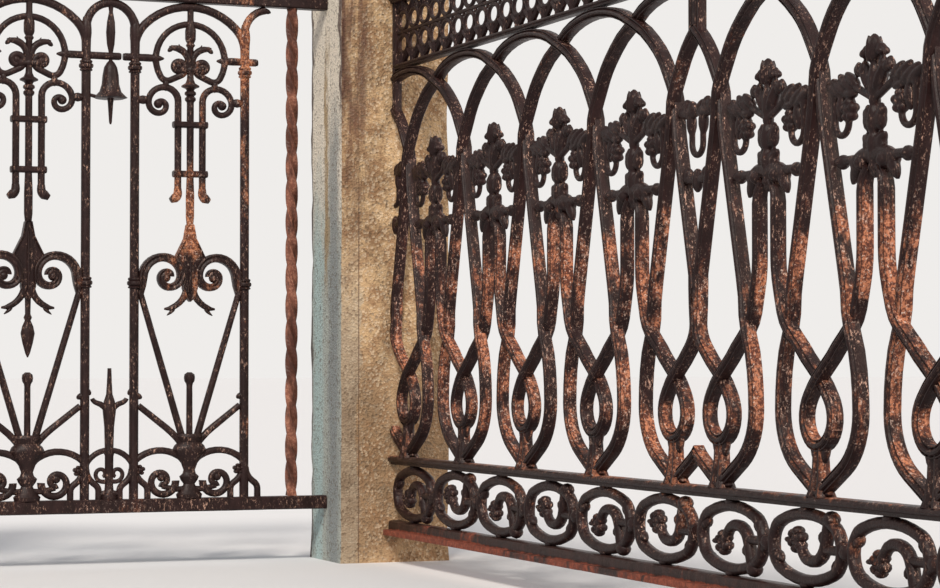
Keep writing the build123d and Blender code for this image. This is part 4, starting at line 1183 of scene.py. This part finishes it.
def build_rings():
    half = bmesh.new()
    ring = run_strand(half, 12, 0, RING_CENTRE + RING_RADIUS, 180)
    ring.bend(RING_RADIUS, 120).bend(14, 85).straight(21, 1.0).curl(VOLUTE, 0.9)
    lobe(half, -29, 866, 15, 15, 14, 0, 0)
    # Knot, and studs on the ring with their points
    run_strand(half, 15, 0, 861, 0, 1.0).straight(5, 0.8).straight(6, 1.15).straight(6, 1.1).straight(5, 0.6)
    lobes(half, (76, RING_CENTRE, 30, 19, 19, 180, 0.6), (63, RING_CENTRE - 15, 30, 12, 15, 90, 0))
    sprig = run_strand(half, 12, 3, 864, 86, 0.85)
    sprig.straight(12, 1.0, 2).bend(24, -66, 1.1).bend(30, -34, 0.7)
    lobes(half, (sprig.x - 6, sprig.z + 2, 13, 10, 11, -40, 0.2), (14, 890, 18, 7, 9, 66),
          (22, 896, 15, 7, 8, 30))
    finish_run("curled_rings", repeated(mirrored(half)), "rings")


build_rings()

# %% Centre rods, side rods and bands
ROD_PROFILE = [(6, 590), (7.6, 604), (7.8, 640), (6.4, 676), (6.5, 720), (6.5, 804), (9.8, 808), (9.8, 812),
               (6.8, 815), (10.4, 818), (10.2, 822), (6.6, 825), (8.6, 828), (16, 831), (16, 833.6), (9, 838),
               (6.4, 844), (5.9, 850), (5.9, 900), (8.6, 904), (6.4, 908), (8.4, 911), (9.6, 915), (9.8, 930),
               (6.8, 943), (5.8, 950), (5.8, 969)]
SIDE_ROD = 22
ROD_CURL = [(22, -90), (30, -90), (20, -90), (14, -90), (9, -140)]
BAND_LEVELS = (765, 679)
BAND_HALF = 31


def build_side_rods():
    half = bmesh.new()
    run_strand(half, 12.8, SIDE_ROD, 648, 90).straight(158, steps=6).curl(ROD_CURL, 0.8)
    lobes(half, (49, 800, 17, 17, 17, 0, 0), (73, 806, 24, 17, 16, 0, 0.1), (44, 822, 24, 12, 14, 90, 0))
    foot = run_strand(half, 13.5, SIDE_ROD, 654, -90)
    foot.straight(8, 1.15).bend(11, 60, 1.3).straight(9, 0.75)
    finish_run("curled_rods", repeated(mirrored(half)), "side_rods")


def build_bands():
    bands = bmesh.new()
    for level in BAND_LEVELS:
        bar = Strand(bands, strip_section(12.5, 20, 3), -BAND_HALF, level, 0, 0.75)
        bar.straight(2, 1.0).straight(3, 0.9).straight(2 * BAND_HALF - 10, 0.9, 6)
        bar.straight(3, 1.0).straight(2, 0.75)
    finish_run("cross_bands", repeated(bands), "bands")


finish_run("turned_rods", repeated(turned_piece(0, ROD_PROFILE)), "centre_rods")
build_side_rods()
build_bands()

# %% Cross bars and the bell
CROSS_LEVEL = 879
BROKEN_AT = 473
BROKEN_GAP = 3
RING_REACH = 66
CROSS_TIPS = (228, 758)
BELL_PROFILE = [(2.4, 760), (3.8, 765), (6, 798), (6.8, 805), (25, 804), (30.5, 807), (27, 811), (20, 818),
                (16.5, 830), (14.6, 846), (12.6, 860), (8, 868), (4.6, 872), (5, 886), (7.8, 900), (9, 920),
                (8, 938), (4.4, 956), (5.6, 969)]


def build_cross_bars():
    """A bar runs from each ring to the next, and the one across the gap is broken."""
    run = bmesh.new()
    starts = (CROSS_TIPS[0], BAY_AXES[0] + RING_REACH, BROKEN_AT + BROKEN_GAP / 2, BAY_AXES[1] + RING_REACH)
    ends = (BAY_AXES[0] - RING_REACH, BROKEN_AT - BROKEN_GAP / 2, BAY_AXES[1] - RING_REACH, CROSS_TIPS[1])
    for start, end in zip(starts, ends):
        bar = run_strand(run, 14.5, start, CROSS_LEVEL, 0, 0.8)
        bar.straight(4, 1.0).straight(end - start - 8, 1.0, 8).straight(4, 0.85)
    finish_run("round_cross_bars", run, "cross_bars", rough=1.2)


def build_bell():
    bell = turned_piece(GAP_AXIS, BELL_PROFILE)
    run_strand(bell, 8, GAP_AXIS + 26, 808, 15, 1.1).straight(14, 0.9)
    finish_run("hung_bell", bell, "bell_drop", rough=2.2)


build_cross_bars()
build_bell()

# %% [markdown]
# ## The scroll run: spade, hearts, fan and vase
#
# Lower down, each rod ends in a spade with a keel, set in a heart of two thick scrolls. Braces
# fan out from a vase at the foot. The spade is one outline pushed to its thickness, then inset
# and sunk on both faces, so that a rim is left standing round it.

# %% Heart scrolls, spade, prongs and spear
HEART_CURL = [(38, 90), (34, 90), (22, 90), (17, 90), (12, 90), (8, 90)]
HEART_BAND = even_section([(5.6, 4.5), (4.8, 6.4), (3, 7), (1.6, 5.6), (0, 5)])
HEART_REACH = BAY_HALF - BAR_RADIUS - 6
SPADE = [(0, 596), (6.5, 590), (11, 566), (20, 548), (27, 534), (17, 522), (12, 500), (13, 480), (7, 462),
         (0, 456)]
SPADE_DEPTH = 15
RIM_WIDTH = 2.2
RIM_SLOPE = 1.6
SUNK_DEPTH = 3.2
SPEAR_PROFILE = [(1, 359), (4.5, 366), (9.5, 384), (12.4, 400), (10, 412), (5.4, 422), (7.6, 427), (5, 433),
                 (5.6, 466)]


def spade():
    bm = bmesh.new()
    points = [*SPADE, *[(-x, z) for x, z in reversed(SPADE) if x]]
    face = bm.faces.new([bm.verts.new((x, -SPADE_DEPTH / 2, z)) for x, z in points])
    _, back = extruded(bm, [face])
    bmesh.ops.translate(bm, vec=(0, SPADE_DEPTH, 0), verts=back)
    bmesh.ops.recalc_face_normals(bm, faces=bm.faces)
    flats = [side for side in bm.faces if abs(side.normal.y) > 0.9]
    bmesh.ops.inset_individual(bm, faces=flats, thickness=RIM_WIDTH, depth=0)
    bmesh.ops.inset_individual(bm, faces=flats, thickness=RIM_SLOPE, depth=-SUNK_DEPTH)
    for side in (1, -1):
        lobe(bm, 0, 468, 116, 8, 9, 90, 0.3, y=side * 4)
    return bm


def build_hearts():
    half = bmesh.new()
    scroll = Strand(half, HEART_BAND, HEART_REACH + 1.5, 466, 93, 0.55)
    scroll.straight(18, 1.2, 3).straight(14, 1.45, 2).curl(HEART_CURL, 0.95)
    lobe(half, 34, 498, 17, 17, 19, 0, 0)
    run_strand(half, 14, 5, 482, -84).bend(44, 62, 0.75).bend(30, 26, 0.3)
    lobes(half, (14, 455, 28, 10, 12, -34, 0.5), (26, 444, 20, 8, 9, -38, 0.5))
    run = repeated(mirrored(half, spade()))
    # The first bay has lost its spear
    merge(run, turned_piece(BAY_AXES[1], SPEAR_PROFILE, flatness=0.7))
    finish_run("hearts", run, "heart_scrolls")


build_hearts()

# %% Fan braces with a ball on the middle stem
FAN_FOOT = 214
FAN_RISE = 476 - FAN_FOOT
FAN_SPREAD = BAY_HALF - BAR_RADIUS - 12
FAN_STEM_PROFILE = [(6, 208), (5.6, 310), (6.4, 314), (9, 318), (10, 324), (9, 330), (4, 334)]


def build_fans():
    half = bmesh.new()
    length = hypot(FAN_RISE, FAN_SPREAD)
    run_strand(half, 12, 11, FAN_FOOT, degrees(acos(FAN_SPREAD / length)), 1.1).straight(length, 0.95, 10)
    run_strand(half, 11.5, 16, FAN_FOOT - 2, 52, 1.1).bend(150, -14).straight(62, 1.0, 3)
    lobe(half, 84, 289, 20, 12, 12, 25, 0)
    finish_run("fans", repeated(mirrored(half, turned_piece(0, FAN_STEM_PROFILE))), "fan_braces")


build_fans()

# %% Vases with the scrolls at the foot of each bay
BASE_CURL = [(23, 90), (22, 90), (18, 90), (13, 90), (9, 120)]
VASE_PROFILE = [(22, 115), (24, 122), (15, 131), (10.5, 140), (15.5, 147), (18, 153), (12.4, 158),
                (10.6, 164), (15, 176), (25, 188), (31, 199), (27, 207), (20, 213), (25, 222), (21, 227)]


def build_bases():
    half = bmesh.new()
    run_strand(half, 13, 10, 182, 42).bend(64, -84, 0.95).straight(8)
    flower(half, 88, 165, 5, 9.5, 17)
    run_strand(half, 14, 24, 146, -92).curl(BASE_CURL, 0.75)
    lobe(half, 42, 152, 16, 16, 15, 0, 0)
    run_strand(half, 11, 8, 132, -10).bend(60, 22).straight(18, 0.8)
    vase = turned_piece(0, VASE_PROFILE, flatness=0.62)
    finish_run("vases", repeated(mirrored(half, vase)), "base_scrolls")


build_bases()

# %% The tulip between the bays
TULIP_CURL = [(13, 90), (10, 90), (7, 150)]
TULIP_PROFILE = [(14, 115), (15, 120), (9, 126), (7.6, 140), (8, 190), (10, 196), (8, 202), (9, 240),
                 (12, 268), (10, 284), (6, 296), (4.6, 318), (3.6, 341)]


def build_tulip():
    half = bmesh.new()
    run_strand(half, 11, 2, 262, 76, 1.1).bend(26, -62, 0.9).bend(14, 52, 0.75)
    lobe(half, 33, 294, 16, 10, 10, 62, 0.2)
    run_strand(half, 10.5, 0, 200, 2).bend(GAP_HALF, -70).straight(14, 0.9)
    run_strand(half, 8.5, 2, 146, 0).straight(9).curl(TULIP_CURL, 0.8)
    lobe(half, 0, 128, 22, 13, 15, -12, 0.3)
    tulip = mirrored(half, turned_piece(0, TULIP_PROFILE, flatness=0.8))
    finish_run("tulip_cast", repeated(tulip, [GAP_AXIS]), "tulip")


build_tulip()

# %% [markdown]
# ## Floor, light and camera
#
# The photograph looks along the arcade at a slant, from two steps past its far end, a metre and
# a half in front of it and low down, with a long lens. The floor and the backdrop are plain and
# pale. What the camera and mirrors see of the sky is paler than the light it gives, so the
# backdrop can be bright while the iron stays dark.

# %% Set the stage
FLOOR_SIZE = 60.0
FLOOR_GREY = (0.8, 0.8, 0.8)
SKY_LIGHT = (0.86, 0.9, 1.0)
SKY_STRENGTH = 0.42
BACKDROP = (0.865, 0.845, 0.825)


def build_floor():
    bm = bmesh.new()
    bmesh.ops.create_grid(bm, x_segments=1, y_segments=1, size=FLOOR_SIZE)
    mesh = bpy.data.meshes.new("floor")
    bm.to_mesh(mesh)
    bm.free()
    material, surface, *_ = new_material("pale_floor")
    wire_inputs(surface, Base_Color=FLOOR_GREY, Roughness=0.9)
    mesh.materials.append(material)
    floor = stood_in_scene("floor", mesh)


def build_world():
    world = bpy.data.worlds.new("soft_sky")
    bpy.context.scene.world = world
    world.use_nodes = True
    tree = world.node_tree
    tree.nodes.clear()
    rays = shader(tree, "LightPath").outputs
    seen = calc("MAXIMUM", Value(rays["Is Camera Ray"]), Value(rays["Is Glossy Ray"]))
    light = shader(tree, "Background", SKY_LIGHT, SKY_STRENGTH)
    backdrop = shader(tree, "Background", BACKDROP, 1.0)
    both = shader(tree, "MixShader", seen, Value(light.outputs[0]), Value(backdrop.outputs[0]))
    shader(tree, "OutputWorld", Value(both.outputs[0]))


def soft_sun(name, towards, strength, softness, colour):
    """A broad lamp so far off that it lights the floor as evenly as the fence."""
    lamp = bpy.data.lights.new(name, "SUN")
    lamp.energy, lamp.angle, lamp.color = strength, radians(softness), colour
    stood_in_scene(name, lamp).rotation_euler = Vector(towards).to_track_quat("-Z", "Y").to_euler()


build_floor()
build_world()
soft_sun("key", (-1.0, 0.55, -1.0), 2.6, 12, (1.0, 0.93, 0.85))
soft_sun("weather_side", (-0.8, -0.9, -0.5), 1.1, 25, (1.0, 0.85, 0.7))

# %% Stand the camera where the photograph was taken
CAMERA_PLACE = Vector((4.2659, -1.5470, 0.3462))
CAMERA_YAW = 1.187
CAMERA_PITCH = 0.0281
CAMERA_LENS = 96.84
SENSOR_WIDTH = 36.0


def build_camera():
    lens = bpy.data.cameras.new("photo_camera")
    lens.lens, lens.sensor_width = CAMERA_LENS, SENSOR_WIDTH
    camera = stood_in_scene("photo_camera", lens)
    level = cos(CAMERA_PITCH)
    forward = Vector((-sin(CAMERA_YAW) * level, cos(CAMERA_YAW) * level, sin(CAMERA_PITCH)))
    camera.location = CAMERA_PLACE
    camera.rotation_euler = forward.to_track_quat("-Z", "Y").to_euler()
    bpy.context.scene.camera = camera


build_camera()
bpy.context.scene.view_settings.view_transform = "Standard"
print("camera", tuple(round(value, 3) for value in CAMERA_PLACE))
